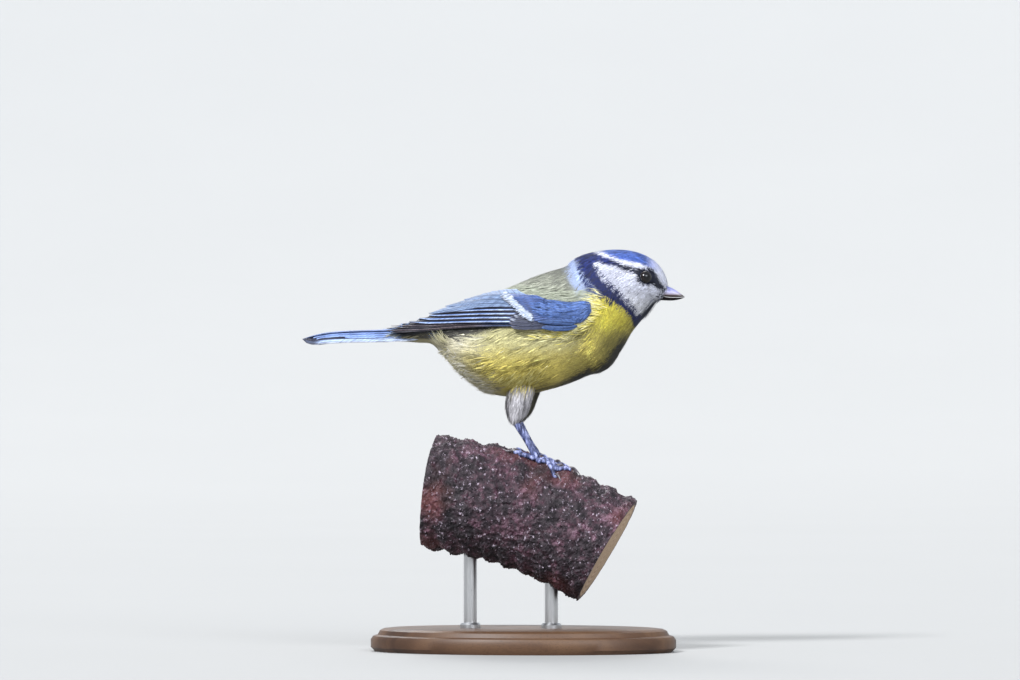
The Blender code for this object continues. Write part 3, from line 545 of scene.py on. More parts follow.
def makeSkin():
    def bodySkin(u, v):
        place = v * lastRow
        return toModel(bodyAt(place, -u * tau, coatDepthAt(place)))

    skin = gridPiece("skin", [plumageFinish("skin_plumage")], *bodyShape["skinGrid"], bodySkin,
                     uvBox=(0, 0, 1, 0.9))
    for corner, (_, side) in zip((0, 0.5), bothSides):
        surface = thighAt(side, legShape["coat"])
        thigh = gridPiece("thigh", [], *legShape["thighGrid"],
                          lambda u, v: toModel(surface(v * thighEnd, u * tau)),
                          uvBox=(corner, 0.91, corner + 0.5, 1))
        join = skin.modifiers.new("join", "BOOLEAN")
        join.operation, join.solver, join.object = "UNION", "EXACT", thigh
        bpy.context.view_layer.update()
        joined = bpy.data.meshes.new_from_object(
            skin.evaluated_get(bpy.context.evaluated_depsgraph_get()))
        skin.modifiers.clear()
        skin.data = joined
        bpy.data.objects.remove(thigh)
    skin.data.shade_smooth()
    points = np.empty(len(skin.data.vertices) * 3, np.float32)
    skin.data.vertices.foreach_get("co", points)
    points = points.reshape(-1, 3) / mm - home
    legs = rise(points[:, 2], 17.5, -2) * rise(points[:, 0], 12, -4)
    paint(skin, mix(markings(points) * bodyShape["underTone"], plumage["skinLeg"], legs))
    settle(skin, "feather_yellow", "head", "neck", "torso", "thigh_right", "thigh_left")
    print("skin made", len(skin.data.polygons))


makeSkin()


# Tufts: a few flat tapered barbs each, laid along the plumage

tuft = {
    "slim": 1.35,
    "sway": 0.05,
    "fleck": 0.12,          # how far barbs differ in tone
    "patch": 0.003,         # a tuft's size on the unwrapping
    # one barb: two pairs of points and a tip
    "barb": ((0, 1, 3), (0, 3, 2), (2, 3, 4)),
    "points": 5,
}


def tuftPattern(barbs, seed, spread):
    # one tuft: along, across and lift, each from 0 to about 1
    draw = random.Random(seed)
    points = []
    for index in range(barbs):
        share = (index + 0.5) / barbs * 2 - 1
        start = draw.uniform(0.0, 0.28)
        tip = 1.0 - 0.30 * share * share + draw.uniform(-0.10, 0.06)
        wide = tuft["slim"] / barbs * draw.uniform(0.8, 1.2)
        lift = draw.uniform(-0.05, 0.10)
        for way in (0.0, 0.5, 1.0):
            u = start + (tip - start) * way
            v = share * 0.5 * spread * (0.25 + 0.75 * math.sin(way * math.pi / 2))
            v += draw.uniform(-0.02, 0.02)
            half = wide * (0.30 + 0.22 * math.sin(math.pi * min(1.0, way * 1.3)))
            points += [(u, v + aside, lift * way) for aside in ((-half, half) if way < 1 else (0.0,))]
    steps = tuft["points"] * np.arange(barbs)[:, None, None]
    return np.array(points), (np.array(tuft["barb"]) + steps).reshape(-1, 3)


def growTufts(patterns, seed, bend, spots):
    # spots holds arrays: root, outward, lie, length, width, lift, base, tip and bake
    rng = np.random.default_rng(seed)
    which = rng.integers(0, len(patterns), len(spots["root"]))
    grown, total = [], 0
    for index, (shape, faces) in enumerate(patterns):
        part = {key: value[which == index] for key, value in spots.items()}
        count, lift = len(part["root"]), part["lift"][:, None]
        ahead = part["lie"] * np.cos(lift) + part["outward"] * np.sin(lift)
        over = part["outward"] * np.cos(lift) - part["lie"] * np.sin(lift)
        across = np.cross(over, ahead)
        length, width = part["length"][:, None, None], part["width"][:, None, None]
        u, v, w = (column[None, :, None] for column in shape.T)
        sway = rng.normal(0.0, tuft["sway"], (count, 1, 1)) * u * u
        points = (part["root"][:, None] + ahead[:, None] * u * length
                  + across[:, None] * (v * width + sway * length)
                  + over[:, None] * (w * width - bend * length * u * u))
        share = rise(u, 0.08, 0.5)
        fleck = rng.normal(1.0, tuft["fleck"], (count, len(shape) // tuft["points"]))
        fleck = np.clip(np.repeat(fleck, tuft["points"], axis=1), 0.55, 1.4)
        tint = part["base"][:, None] * (1 - share) + part["tip"][:, None] * share
        bake = part["bake"][:, None] + (shape[:, :2] - (0.5, 0.0)) * tuft["patch"]
        corners = faces + total + np.arange(count)[:, None, None] * len(shape)
        grown.append([values.reshape(-1, values.shape[-1])
                      for values in (points, corners, tint * fleck[:, :, None], bake)])
        total += count * len(shape)
    return [np.vstack(values) for values in zip(*grown)]


def layTufts(name, slot, finish, patterns, seed, bend, spread=0.9, **spots):
    # patterns: barbs in a tuft, and the seeds of the first and past the last pattern
    made = [tuftPattern(patterns[0], number, spread) for number in range(*patterns[1:])]
    points, triangles, colours, bake = growTufts(made, seed, bend, spots)
    mesh = bpy.data.meshes.new(name)
    mesh.vertices.add(len(points))
    mesh.vertices.foreach_set("co", toModel(points).astype(np.float32).ravel())
    mesh.loops.add(triangles.size)
    mesh.loops.foreach_set("vertex_index", triangles.astype(np.int32).ravel())
    mesh.polygons.add(len(triangles))
    mesh.polygons.foreach_set("loop_start", np.arange(0, triangles.size, 3, dtype=np.int32))
    mesh.update(calc_edges=True)
    mesh.shade_smooth()
    layer = mesh.uv_layers.new(name="OFBake")
    layer.data.foreach_set("uv", bake[triangles.ravel()].astype(np.float32).ravel())
    piece = newObject(name, mesh)
    mesh.materials.append(finish)
    paint(piece, colours)
    settle(piece, slot)
    print(name, len(spots["root"]), "tufts", len(triangles), "triangles")


# The coat of the head and body

coat = {
    "tufts": 106000,
    "patterns": (3, 0, 8),
    # by the body's rows: tuft length, width, lift in degrees, and how close they grow
    "at": (0, 2, 5, 9, 13, 15, 17, 19, 21, 22.5, 23.4, 24),
    "length": (6.6, 6.6, 6.4, 6, 4.8, 3.5, 2.35, 1.95, 1.65, 1.25, 0.95, 0.8),
    "width": (0.42, 0.42, 0.4, 0.38, 0.34, 0.29, 0.25, 0.22, 0.2, 0.17, 0.15, 0.14),
    "lift": (9, 11, 12, 11, 12, 13, 12, 11, 12, 13, 13, 12),
    "close": (1, 1, 1, 1, 1.1, 1.6, 2.4, 2.9, 3.8, 5.2, 7, 8),
    # how wide a feather is on the body and on the head, and how far its tufts gather
    "feather": (3.1, 1.5),
    "gather": 0.40,
    # light and dark strands: width and length in mm on the body and on the head, and how
    # far they slant down over the breast, by row
    "strands": ((0.80, 6.0), (0.72, 3.4)),
    "slant": ((0, 9, 12, 14.5, 24), (0, 2.1, 4.1, 6.8, 9)),
    "puff": (13.4, 1.3),        # the row where the breast is fluffed out, and how far on
    "bend": 0.10,
    "sunk": 0.12,
    "seed": 11,
    "pale": (0.80, 0.80, 0.72),
    "faceFrom": 19.0,
    # where the back, the sides and the belly meet, in degrees from the top
    "turns": (75, 128, 232, 285),
}
eyeShape = {"place": (33.0, 54.3), "radius": 1.98, "sunk": 0.95, "lidRadius": 1.78, "lidThick": 0.15,
            "lidSunk": 0.18, "iris": 0.46, "bare": 0.25}


def sampleBody(count, close, seed):
    # roots spread evenly by area, closer where the plumage is finer
    rng = np.random.default_rng(seed)
    places, angles = np.linspace(0.0, lastRow, 420), np.linspace(0.0, tau, 181)
    grid = bodyAt(places[:, None], angles[None, :]).reshape(len(places), len(angles), 3)
    one = grid[1:, :-1] - grid[:-1, :-1]
    two = grid[:-1, 1:] - grid[:-1, :-1]
    area = np.linalg.norm(np.cross(one, two), axis=2)
    area = area * np.interp(places[:-1], coat["at"], close)[:, None]
    reach = np.cumsum(area.ravel())
    pick = (np.arange(count) + rng.random(count)) / count * reach[-1]
    row, column = np.divmod(np.searchsorted(reach, pick), area.shape[1])
    place = places[row] + (places[1] - places[0]) * rng.random(count)
    return place, angles[column] + (angles[1] - angles[0]) * rng.random(count)


def eyeFrame(side):
    x, z = eyeShape["place"]
    hit, outward, _, _ = bodyTree.ray_cast(Vector((x, side * 40.0, z)), Vector((0.0, -side, 0.0)))
    return np.array(hit), np.array(outward)


def lieOfCoat(root, outward, back):
    # the feathers lie towards the tail, drawn down on the breast and parted round the eye
    x = seenFlat(root)[:, :1]
    drop = -0.06 - 0.22 * rise(x, -6, 14) * (x < 22)
    lie = back + np.array((0.0, 0.0, 1.0)) * drop * rise(np.abs(outward[:, 1:2]), 0.1, 0.3)
    for _, side in bothSides:
        eye, out = eyeFrame(side)
        away = root - eye
        away -= out * (away @ out)[:, None]
        far = np.linalg.norm(away, axis=1)[:, None]
        lie = lie + away / np.maximum(far, 0.1) * np.clip(1.35 - far / 3.4, 0.0, 1.0)
    drift = noiseAt(root, 0.28)[:, None]
    return squareTo(outward, lie + np.cross(outward, lie) * drift * 0.30)


def gatherFeathers(root, outward, lie, length, size):
    # tufts rooted round one middle end in one rounded edge, as the barbs of a feather do
    middle = np.array([noise.voronoi(Vector(point))[1][0] for point in root / size]) * size
    across = np.cross(outward, lie)
    step = root - middle
    ahead, aside = np.sum(step * lie, axis=1), np.sum(step * across, axis=1)
    gather = coat["gather"] * (1 - 0.8 * rise(outward[:, 2], 0.1, 0.5))
    length = length - gather * (0.8 * ahead + 0.7 * aside ** 2 / size)
    lie = unit(lie + across * (gather * 0.35 * aside / size)[:, None])
    shade = 1 + 0.15 * gather * np.sin(middle @ np.array((12.9, 78.2, 37.7)))
    return lie, np.maximum(length, 0.6), shade


def strandsAt(place, angle, wide, long):
    # strands of the plumage running along the body, from about -1 to 1
    run = place * 3.8 / long
    slant = np.interp(place, *coat["slant"])
    half = np.where(place > bodyShape["neck"], 9.5, 13.5)
    around = (angle * half + np.where(angle < math.pi, slant, -slant)) / wide
    fine = noiseAt(np.stack([run, around, np.zeros_like(run)], 1))
    broad = noiseAt(np.stack([run * 0.5, around * 0.33, np.full_like(run, 9.0)], 1))
    return fine * 1.75 + broad * 0.8 * (1 - 0.8 * rise(np.cos(angle), 0.1, 0.4))


def openCoat(root):
    # false under the folded wings, at the eyes and inside the thighs, where nothing grows
    clear = (outlineDepth(seenFlat(root), "underWing") <= 0.3) | (np.abs(root[:, 1]) <= 5.0)
    for _, side in bothSides:
        hip, ankle, _ = legPoints(side)
        share, _ = nearStep(root, hip, ankle - hip)
        away = np.linalg.norm((root - hip - share[:, None] * (ankle - hip)) * (0.8, 1.0, 1.0), axis=1)
        clear &= away >= np.interp(share, *np.array(legShape["thigh"])[:, :2].T) + 0.3
        eye, _ = eyeFrame(side)
        clear &= np.linalg.norm(root - eye, axis=1) > eyeShape["lidRadius"] + eyeShape["bare"]
    return clear


def makeCoat():
    place, angle = sampleBody(coat["tufts"], coat["close"], coat["seed"])
    rng = np.random.default_rng(coat["seed"] + 1)
    root, outward, ahead = surfaceFrame(
        lambda p, a: bodyAt(p, a, coatDepthAt(p), coatRows), place, angle, 0.02, 0.01)
    root = root - outward * coat["sunk"]
    lie = lieOfCoat(root, outward, -ahead)
    up, onHead = np.cos(angle), place > bodyShape["neck"]
    top, low = rise(up, 0.35, 0.4), rise(-up, 0.2, 0.5) * rise(place, 11, -5)
    # the breast is fluffed out where its outline turns
    puff = np.exp(-((place - coat["puff"][0]) / coat["puff"][1]) ** 2) * rise(-up, 0.4, 0.3)

    def along(name):
        return np.interp(place, coat["at"], coat[name])

    def flicker(shape=len(root)):
        return rng.normal(0.0, 1.0, shape)

    length = along("length") * rng.uniform(0.88, 1.12, len(root))
    width = along("width") * rng.uniform(0.75, 1.25, len(root))
    length *= 1 - 0.22 * top
    shade, strand = np.ones(len(root)), np.zeros(len(root))
    for chosen, size, grain in zip((~onHead, onHead), coat["feather"], coat["strands"]):
        lie[chosen], length[chosen], shade[chosen] = gatherFeathers(
            root[chosen], outward[chosen], lie[chosen], length[chosen], size)
        strand[chosen] = strandsAt(place[chosen], angle[chosen], *grain)
    lie = unit(lie + np.cross(outward, lie) * (0.06 * flicker((len(root), 1))))
    lift = along("lift") * (1 - 0.45 * top) + 1.5 * flicker()
    lift = np.radians(lift + 5.0 * strand * (1 - 0.5 * top))
    lift = np.maximum(lift + np.radians(4.0) * low + np.radians(11.0) * puff, math.radians(2.0))
    length = length * (1 + 0.15 * low) * (1 + 0.15 * puff)
    reach = length * np.where(onHead, 0.72, 0.8)
    tone = markings(root + lie * reach[:, None] + outward * 0.4, 0.20)
    # dark and yellow plumage is streaked more than pale
    light = tone @ np.array((0.3, 0.6, 0.1))
    yellow = 1 - tone[:, 2] / tone.max(axis=1)
    amount = np.maximum(np.interp(light, (0.10, 0.45), (1.05, 0.0)),
                        np.interp(yellow, (0.1, 0.4, 0.7, 0.9), (0.20, 0.30, 0.74, 0.92)))
    streak = amount * (0.90 * strand + 0.40 * flicker())
    tip = tone * (shade * np.clip(1 + streak, 0.22, 1.7))[:, None]
    pale = rng.random(len(root)) < 0.03 * rise(place, 14, -2)
    tip[pale] = mix(tip[pale], coat["pale"], 0.35)
    tip[rng.random(len(root)) < 0.06 * onHead * (light > 0.5)] *= 0.40
    base = tone * np.interp(light, (0.1, 0.7), (0.28, 0.50))[:, None]
    spots = dict(root=root, outward=outward, lie=lie, length=length, width=width, lift=lift,
                 base=mix(base, plumage["down"], 0.12), tip=tip,
                 bake=np.stack([angle / tau, place / lastRow * 0.9], 1))
    turn = np.degrees(angle)
    head = place > bodyShape["neck"] - 1.0
    ahead, right = place >= coat["faceFrom"], turn < 180
    one, two, three, four = coat["turns"]
    parts = {
        "coat_face_right": ("feather_white", head & right & ahead),
        "coat_face_left": ("feather_white", head & ~right & ahead),
        "coat_nape_right": ("feather_blue", head & right & ~ahead),
        "coat_nape_left": ("feather_blue", head & ~right & ~ahead),
        "coat_back": ("feather_grey", ~head & ((turn < one) | (turn > four))),
        "coat_side_right": ("feather_yellow", ~head & (turn >= one) & (turn < two)),
        "coat_side_left": ("feather_yellow", ~head & (turn > three) & (turn <= four)),
        "coat_belly": ("feather_yellow", ~head & (turn >= two) & (turn <= three)),
    }
    finish, clear = plumageFinish("plumage"), openCoat(root)
    for seed, (name, (slot, inPart)) in enumerate(parts.items()):
        picked = {key: value[inPart & clear] for key, value in spots.items()}
        layTufts(name, slot, finish, coat["patterns"], seed, coat["bend"], **picked)


bodyTree = treeOf(bodyAt, 120, 160, lastRow)
makeCoat()


# The folded wings: flight feathers and coverts in tiers over a bed on the body

wing = {
    "bedGrow": 1.2,
    # the bed behind the body, and how high the closed wings carry its top
    "bedRear": ((-52, 38, -52, 33.4, 3.8, 0.42, 1), (-48, 38.6, -48, 33.4, 4.4, 0.42, 1),
                (-43, 39.4, -43, 33.6, 5.2, 0.42, 1), (-38, 40.7, -38, 33.4, 5.9, 0.43, 1)),
    "bedTop": {-33: 42.5, -29.6: 44.2, -25.8: 45.7, -21.5: 47.1, -17: 48.3, -12.8: 49.6},
    # roots, middles and tips from the first feather to the last, as x and z in the photo's
    # view, how far each stands off the bed, and the webs' widths below and above the shaft
    "tiers": {
        "flight": (
            dict(finish="primary", count=7, root=((-1, 42), (4, 39.9)),
                 middle=((-20, 41.8), (-19, 39.9)),
                 tip=((-39.5, 41), (-43, 40.3), (-46.2, 39), (-45.4, 37.8)),
                 off=(0.5, 0.9, 0.9), spread=-0.07, webs=(0.62, 2), tilt=16, end=(0.82, 0.85)),
            dict(finish="secondary", count=5, root=((-2, 46.2), (-0.4, 41.6)),
                 middle=((-15, 46), (-17, 41.4)), tip=((-28, 45.2), (-34.8, 43), (-41, 40.9)),
                 off=(1.5, 1.9, 1.2), spread=-0.09, webs=(0.85, 2.4), tilt=17, end=(0.86, 0.55)),
            dict(finish="tertial", count=3, root=((-4, 48.4), (-3, 46.4)),
                 middle=((-14.5, 48.9), (-16.5, 46.3)),
                 tip=((-22.8, 47.6), (-28.6, 45.6), (-33.4, 43.5)),
                 off=(2.1, 2.3, 1.5), spread=-0.1, webs=(1.5, 3), tilt=6, end=(0.66, 0.6)),
        ),
        "coverts": (
            dict(finish="handCovert", count=4, root=((3.6, 42), (5, 39.8)),
                 middle=((-2.2, 42.2), (-1.6, 39.5)), tip=((-7.8, 42.8), (-9.4, 41.2), (-8.6, 39.4)),
                 off=(1.9, 2.5, 2.3), spread=-0.12, webs=(0.9, 1.6), tilt=10, end=(0.7, 0.1)),
            dict(finish="greatCovert", count=12, root=((1.6, 47.4), (5.4, 42.8)),
                 middle=((-4.6, 48), (-1.2, 45.2), (1.4, 42.2)),
                 tip=((-12, 48.6), (-8, 45.3), (-3.4, 41.5)),
                 off=(2.2, 3, 2.9), spread=-0.04, webs=(0.7, 1.5), tilt=13, end=(0.86, 0)),
            dict(finish="thumb", count=2, root=((11, 40.6), (11.2, 39.5)),
                 middle=((5.4, 40.8), (6.2, 38.9)), tip=((-0.6, 40.9), (0.4, 39.1)),
                 off=(2.3, 2.7, 2.6), spread=-0.25, webs=(0.8, 1.3), tilt=8, end=(0.55, 0.5)),
        ),
    },
    "across": (-1, -0.94, -0.82, -0.62, -0.46, -0.36, -0.14, -0.05, 0.05, 0.16, 0.4, 0.7, 0.92, 1),
    "along": 26,
    "thick": 0.10,
    "shaft": 0.13,
    "camber": 0.16,
    "sweep": 0.35,
    "torn": 0.035,
    # the arm's cushion: its upper and lower edge and how thick it is, from the front back
    "padTop": ((15.6, 47.2), (9.5, 46.6), (4.9, 47), (-1, 47.7), (-6, 48.3)),
    "padLow": ((15.8, 43.6), (12.4, 41.4), (6.4, 41.2), (1, 41.4), (-4, 42.5)),
    "padThick": (0.4, 1.6, 2.3, 2.5, 1.6),
    "padGrid": (48, 40),
    "padTone": 0.7,
    "armTufts": 6800,
    "armSeed": 41,
    "armTones": ((0.20, 0.30, 0.60), (0.30, 0.40, 0.55)),
    "seed": 31,
}

featherTones = {
    "black": (0.020, 0.020, 0.034),
    "primary": (0.016, 0.016, 0.026),
    "primaryBase": (0.096, 0.192, 0.444),
    "primaryEdge": (0.34, 0.26, 0.27),
    "secondary": (0.060, 0.080, 0.16),
    "secondaryEdge": (0.16, 0.32, 0.74),
    "pale": (0.62, 0.71, 0.88),
    "tertial": (0.20, 0.285, 0.44),
    "tertialEdge": (0.32, 0.44, 0.68),
    "handCovert": (0.060, 0.070, 0.120),
    "handTip": (0.26, 0.26, 0.33),
    "greatCovert": (0.085, 0.145, 0.37),
    "white": (0.50, 0.55, 0.65),
    "thumb": (0.054, 0.108, 0.27),
    "thumbEdge": (0.14, 0.24, 0.48),
    "tail": (0.33, 0.49, 0.96),
    "tailEdge": (0.52, 0.66, 0.96),
    "tailDark": (0.030, 0.034, 0.065),
}


def makeWingBed():
    rows = [list(row) for row in wing["bedRear"] + bodyShape["rows"][2:]]
    for row in rows:
        row[1] = wing["bedTop"].get(row[0], row[1])
    return treeOf(lambda place, angle: bodyAt(place, angle, -wing["bedGrow"], rows),
                  96, 200, len(rows) - 1)


def seenOn(tree, x, z, side, near=None):
    # where the photo's view of this side meets a surface, and the way out of it there
    slant = Vector((-sideLean, -side, 0.0)).normalized()
    start = Vector((x + sideLean * 60.0, side * 60.0, z))
    hit, outward, _, _ = tree.ray_cast(start, slant)
    if hit is None:
        hit, outward, _, _ = tree.find_nearest(near or start + slant * 54.0)
    return hit, outward


def onWing(spots, off, side):
    # places this far off the bed, seen at x and z in the photo's view, and their outward way
    points, outwards = [], []
    for (x, z), away in zip(spots, off):
        aimX, aimZ = x, z
        for _ in range(3):
            hit, outward = seenOn(wingBed, aimX, aimZ, side)
            point = hit + outward * (away - wing["bedGrow"])
            # aimed again so that the raised point is seen at x and z
            aimX += 0.8 * (x - (point.x - sideLean * side * point.y))
            aimZ += 0.8 * (z - point.z)
        points.append(point)
        outwards.append(outward)
    return np.array(points), unit(np.array(outwards))


def onBody(spots, off, side):
    hits = [seenOn(bodyTree, x, z, side, Vector((x, side * 6.0, z))) for x, z in spots]
    outwards = np.array([outward for _, outward in hits])
    return np.array([hit + outward * (off - 1.0) for hit, outward in hits]), unit(outwards)


def layFeather(shell, path, outwards, webs, tilt, side, tint, end, bakeBox, draw):
    # one feather: a thin plate with a raised shaft, cambered webs and a slightly torn edge
    ahead = unit(np.gradient(path, axis=0))
    out = squareTo(ahead, outwards)
    down = np.cross(ahead, out) * side
    lean = math.radians(tilt)
    across = down * math.cos(lean) + out * math.sin(lean)
    over = out * math.cos(lean) - down * math.sin(lean)
    last, columns = len(path) - 1, wing["across"]
    torn = [draw.gauss(0.0, wing["torn"]) for _ in path]
    share = np.linspace(0, 1, last + 1)
    # a quill, broad webs and a rounded or pointed tip
    quill = np.clip(0.22 + 4.5 * share, 0.0, 1.0)
    close = np.clip((share - end[0]) / (1.0 - end[0]), 0.0, 1.0)
    width = quill * (np.sqrt(1 - close ** 2) * (1 - end[1] * close * 0.55) + 0.02)
    bake, lines = (layerOf(shell.loops.layers.uv, name) for name in ("OFBake", "vane"))
    colour = layerOf(shell.verts.layers.float_color, "tint")
    made = bmesh.ops.create_grid(shell, x_segments=len(columns) - 1, y_segments=last, size=0.5)
    length = np.linalg.norm(path[-1] - path[0])
    spots = {}
    for vert in made["verts"]:
        reach = -columns[round((vert.co.x + 0.5) * (len(columns) - 1))]
        row = round((vert.co.y + 0.5) * last)
        web = webs[0] if reach > 0 else webs[1]
        wide = reach * web * width[row] * (1 + (torn[row] if abs(reach) > 0.9 else 0.0))
        lift = wing["shaft"] * (1 - 0.7 * share[row]) * max(0.0, 1 - abs(reach) / 0.12)
        lift -= wing["camber"] * reach * reach * web * width[row]
        # barbs sweep towards the tip, so the webs' ends run ahead of the shaft's
        sweep = wing["sweep"] * abs(reach) * web * width[row]
        place = path[row] + across[row] * wide + over[row] * lift + ahead[row] * sweep
        spots[vert] = (reach, share[row], wide, share[row] * length + sweep)
        vert.co = toModel(place)
        vert[colour] = (*np.clip(tint(reach, share[row]), 0, 1), 1.0)
    faces = list({face for vert in made["verts"] for face in vert.link_faces})
    for face in faces:
        for loop in face.loops:
            reach, along, wide, far = spots[loop.vert]
            loop[lines].uv = (wide, far)
            loop[bake].uv = (bakeBox[0] + (reach + 1) / 2 * bakeBox[2],
                             bakeBox[1] + along * bakeBox[3])
    if sum((face.normal for face in faces), Vector()).dot(Vector(over[last // 2])) < 0:
        bmesh.ops.reverse_faces(shell, faces=faces)
    bmesh.ops.solidify(shell, geom=faces, thickness=wing["thick"] * mm)


def toned(first, second, share):
    # two of the feathers' tones mixed, by name or as they are
    return mix(*(featherTones[tone] if isinstance(tone, str) else tone for tone in (first, second)),
               share)


def featherTint(kind, index, count, draw):
    # the colour of one feather, by how far below the shaft and how far along
    fleck = 1 + draw.uniform(-0.08, 0.08)

    def primary(reach, share):
        edge = toned("primaryBase", "primaryEdge", rise(share, 0.35, 0.2))
        bright = 0.85 if index in (1, 3, count - 2) else 0.2
        return toned("primary", edge, bright if reach > 0.9 else 0.0)

    def secondary(reach, share):
        edge = toned("secondaryEdge", "tertialEdge", rise(share, 0.8, 0.2))
        tone = toned("black", edge, rise(reach, 0.40, 0.15))
        return toned(tone, "pale", 0.9 - 0.6 * rise(share, 0.75, 0.2)) if reach > 0.75 else tone

    def tertial(reach, share):
        tone = toned("tertial", "tertialEdge", rise(abs(reach), 0.6, 0.3) * 0.7)
        tone = toned(tone, "secondary", 0.35 * rise(abs(reach), 0.2, -0.15))
        return toned(tone, "black", 0.6 * rise(reach, 0.9, 0.05)) if index == count - 1 else tone

    def handCovert(reach, share):
        tone = toned("handCovert", "handTip", rise(share, 0.93, 0.05))
        if index < 2:
            tone = toned(tone, "white", rise(share, 0.86, 0.05) * rise(reach, -0.2, 0.4))
        return toned(tone, "handTip", 0.3) if reach > 0.9 else tone

    def greatCovert(reach, share):
        return toned("greatCovert", "white", rise(share, 0.80 + 0.02 * math.sin(index * 2.3), 0.05))

    def thumb(reach, share):
        tone = toned("thumb", "greatCovert", 0.35 * rise(-reach, 0.3, 0.3))
        return toned(tone, "thumbEdge", 0.7 * rise(share, 0.93, 0.05))

    def tail(reach, share):
        tone = toned("tail", "tailEdge", 0.5 * rise(reach, 0.75, 0.15))
        if reach < -0.1:
            tone = toned(tone, "tailDark", 0.55)
        if index >= count - 2:
            tone = "tailDark" if reach < 0.72 else "white"
        if index == count - 1 and -0.05 < reach < 0.72:
            tone = "tailEdge"
        dusk = 0.86 - 0.12 * index / (count - 1)
        return toned(tone, "tailDark", rise(share, dusk, 0.10) * 0.9)

    colour = {"primary": primary, "secondary": secondary, "tertial": tertial, "tail": tail,
              "handCovert": handCovert, "greatCovert": greatCovert, "thumb": thumb}[kind]
    return lambda reach, share: colour(reach, share) * fleck


def vaneFinish():
    # webs ruled with fine slanting barbs, splits between bunches of them, and lines that
    # follow the shaft
    made, tree = newFinish("vanes", Sheen_Weight=0.03, Sheen_Roughness=0.4, Specular_IOR_Level=0.22)
    where = addNode(tree, "UVMap", {}, uv_map="vane")
    across, along = addNode(tree, "SeparateXYZ", {"Vector": where}).node.outputs[:2]
    slant = worked(tree, "MULTIPLY", worked(tree, "ABSOLUTE", across), 1.1)
    run = worked(tree, "SUBTRACT", along, slant)
    line = addNode(tree, "CombineXYZ", {"X": run, "Y": across})
    barbs = grainOf(tree, 1.0, 3.0, (9.0, 0.5, 1.0), line)
    splits = grainOf(tree, 1.0, 2.0, (1.5, 0.25, 1.0), line)
    lines = grainOf(tree, 1.0, 2.0, (3.0, 0.12, 1.0), where)
    tone = shaded(tree, tintOf(tree), barbs, 0.3, (0.62, 0.62, 0.65), 0.7)
    tone = shaded(tree, tone, splits, 0.32, (0.50, 0.50, 0.53), 0.56)
    tone = shaded(tree, tone, lines, 0.40, (0.38, 0.38, 0.42), 0.56)
    return dress(made, tone, (barbs, 0.36, 0.56), (barbs, 0.35, 0.00012))


def makeWing(name, side):
    draw = random.Random(wing["seed"])
    way = np.linspace(0, 1, wing["along"] + 1)
    for group, tiers in wing["tiers"].items():
        shell = bmesh.new()
        room, made = 1.0 / sum(tier["count"] for tier in tiers), 0
        for tier in tiers:
            # the last feather of a tier lies lowest and deepest, so it comes first
            for index in reversed(range(tier["count"])):
                share = index / (tier["count"] - 1)
                root, middle, tip = (partWay(tier[key], share)[0] for key in ("root", "middle", "tip"))
                tip = tip + (tip - middle) * draw.uniform(-0.015, 0.015)
                off = partWay(tier["off"], way)[:, 0] + tier["spread"] * index
                path, outwards = onWing(partWay((root, middle, tip), way), off, side)
                webs = [web * draw.uniform(0.96, 1.04) for web in tier["webs"]]
                layFeather(shell, path, outwards, webs, tier["tilt"], side,
                           featherTint(tier["finish"], index, tier["count"], draw), tier["end"],
                           (made * room + 0.05 * room, 0.02, room * 0.9, 0.96), draw)
                made += 1
        settle(keep(f"{name}_{group}", shell, [vanes]), "feather_blue", name)
        print(name, group, made, "feathers")


def makeWingPad(name, side):
    # the arm, a shallow cushion on the bed, under its small feathers
    def surface(place, angle):
        place, angle = flatPair(place, angle)
        top, low, thick = (partWay(wing[key], place) for key in ("padTop", "padLow", "padThick"))
        swell = np.sin(angle)
        swell = np.where(swell > 0, np.abs(swell) ** 0.7, -0.12 * np.abs(swell))
        share = 0.5 - 0.5 * np.cos(angle)
        return onWing(top + (low - top) * share[:, None], 0.2 + thick[:, 0] * swell, side)[0]

    pad = gridPiece(name + "_arm", [plumageFinish(name + "_arm_plumage")], *wing["padGrid"],
                    lambda u, v: toModel(surface(0.02 + 0.96 * v, u * tau)))
    paint(pad, np.array(plumage["wingBlue"]) * wing["padTone"])
    settle(pad, "feather_blue", name)
    # the small coverts, row over row
    rng = np.random.default_rng(wing["armSeed"])
    count = wing["armTufts"]
    place, angle = 0.03 + 0.94 * rng.random(count), math.pi * (0.02 + 0.96 * rng.random(count))
    root, outward, back = surfaceFrame(surface, place, angle, 0.01, 0.02)
    inwards = np.sum(outward * (0.0, side, 0.2), axis=1) < 0
    outward = outward * np.where(inwards, -1.0, 1.0)[:, None]
    tone = plumage["wingBlue"] * np.clip(rng.normal(1.0, 0.52, (count, 1)), 0.2, 2.4)
    tone = mix(tone, wing["armTones"][0], rng.random(count) ** 2 * 0.6)
    tone = mix(tone, wing["armTones"][1], 0.35 * rise(root[:, 2], 47, 1.5))
    layTufts(name + "_small_coverts", "feather_blue", plumageFinish(name + "_small_plumage"),
             (4, 20, 26), 7, 0.12, 1.0, root=root - outward * 0.1, outward=outward, lie=back,
             length=rng.uniform(2.4, 3.8, count), width=rng.uniform(0.26, 0.44, count),
             lift=np.radians(rng.normal(8.5, 4.0, count)), base=tone * 0.4, tip=tone,
             bake=np.stack([angle / tau, place], 1))


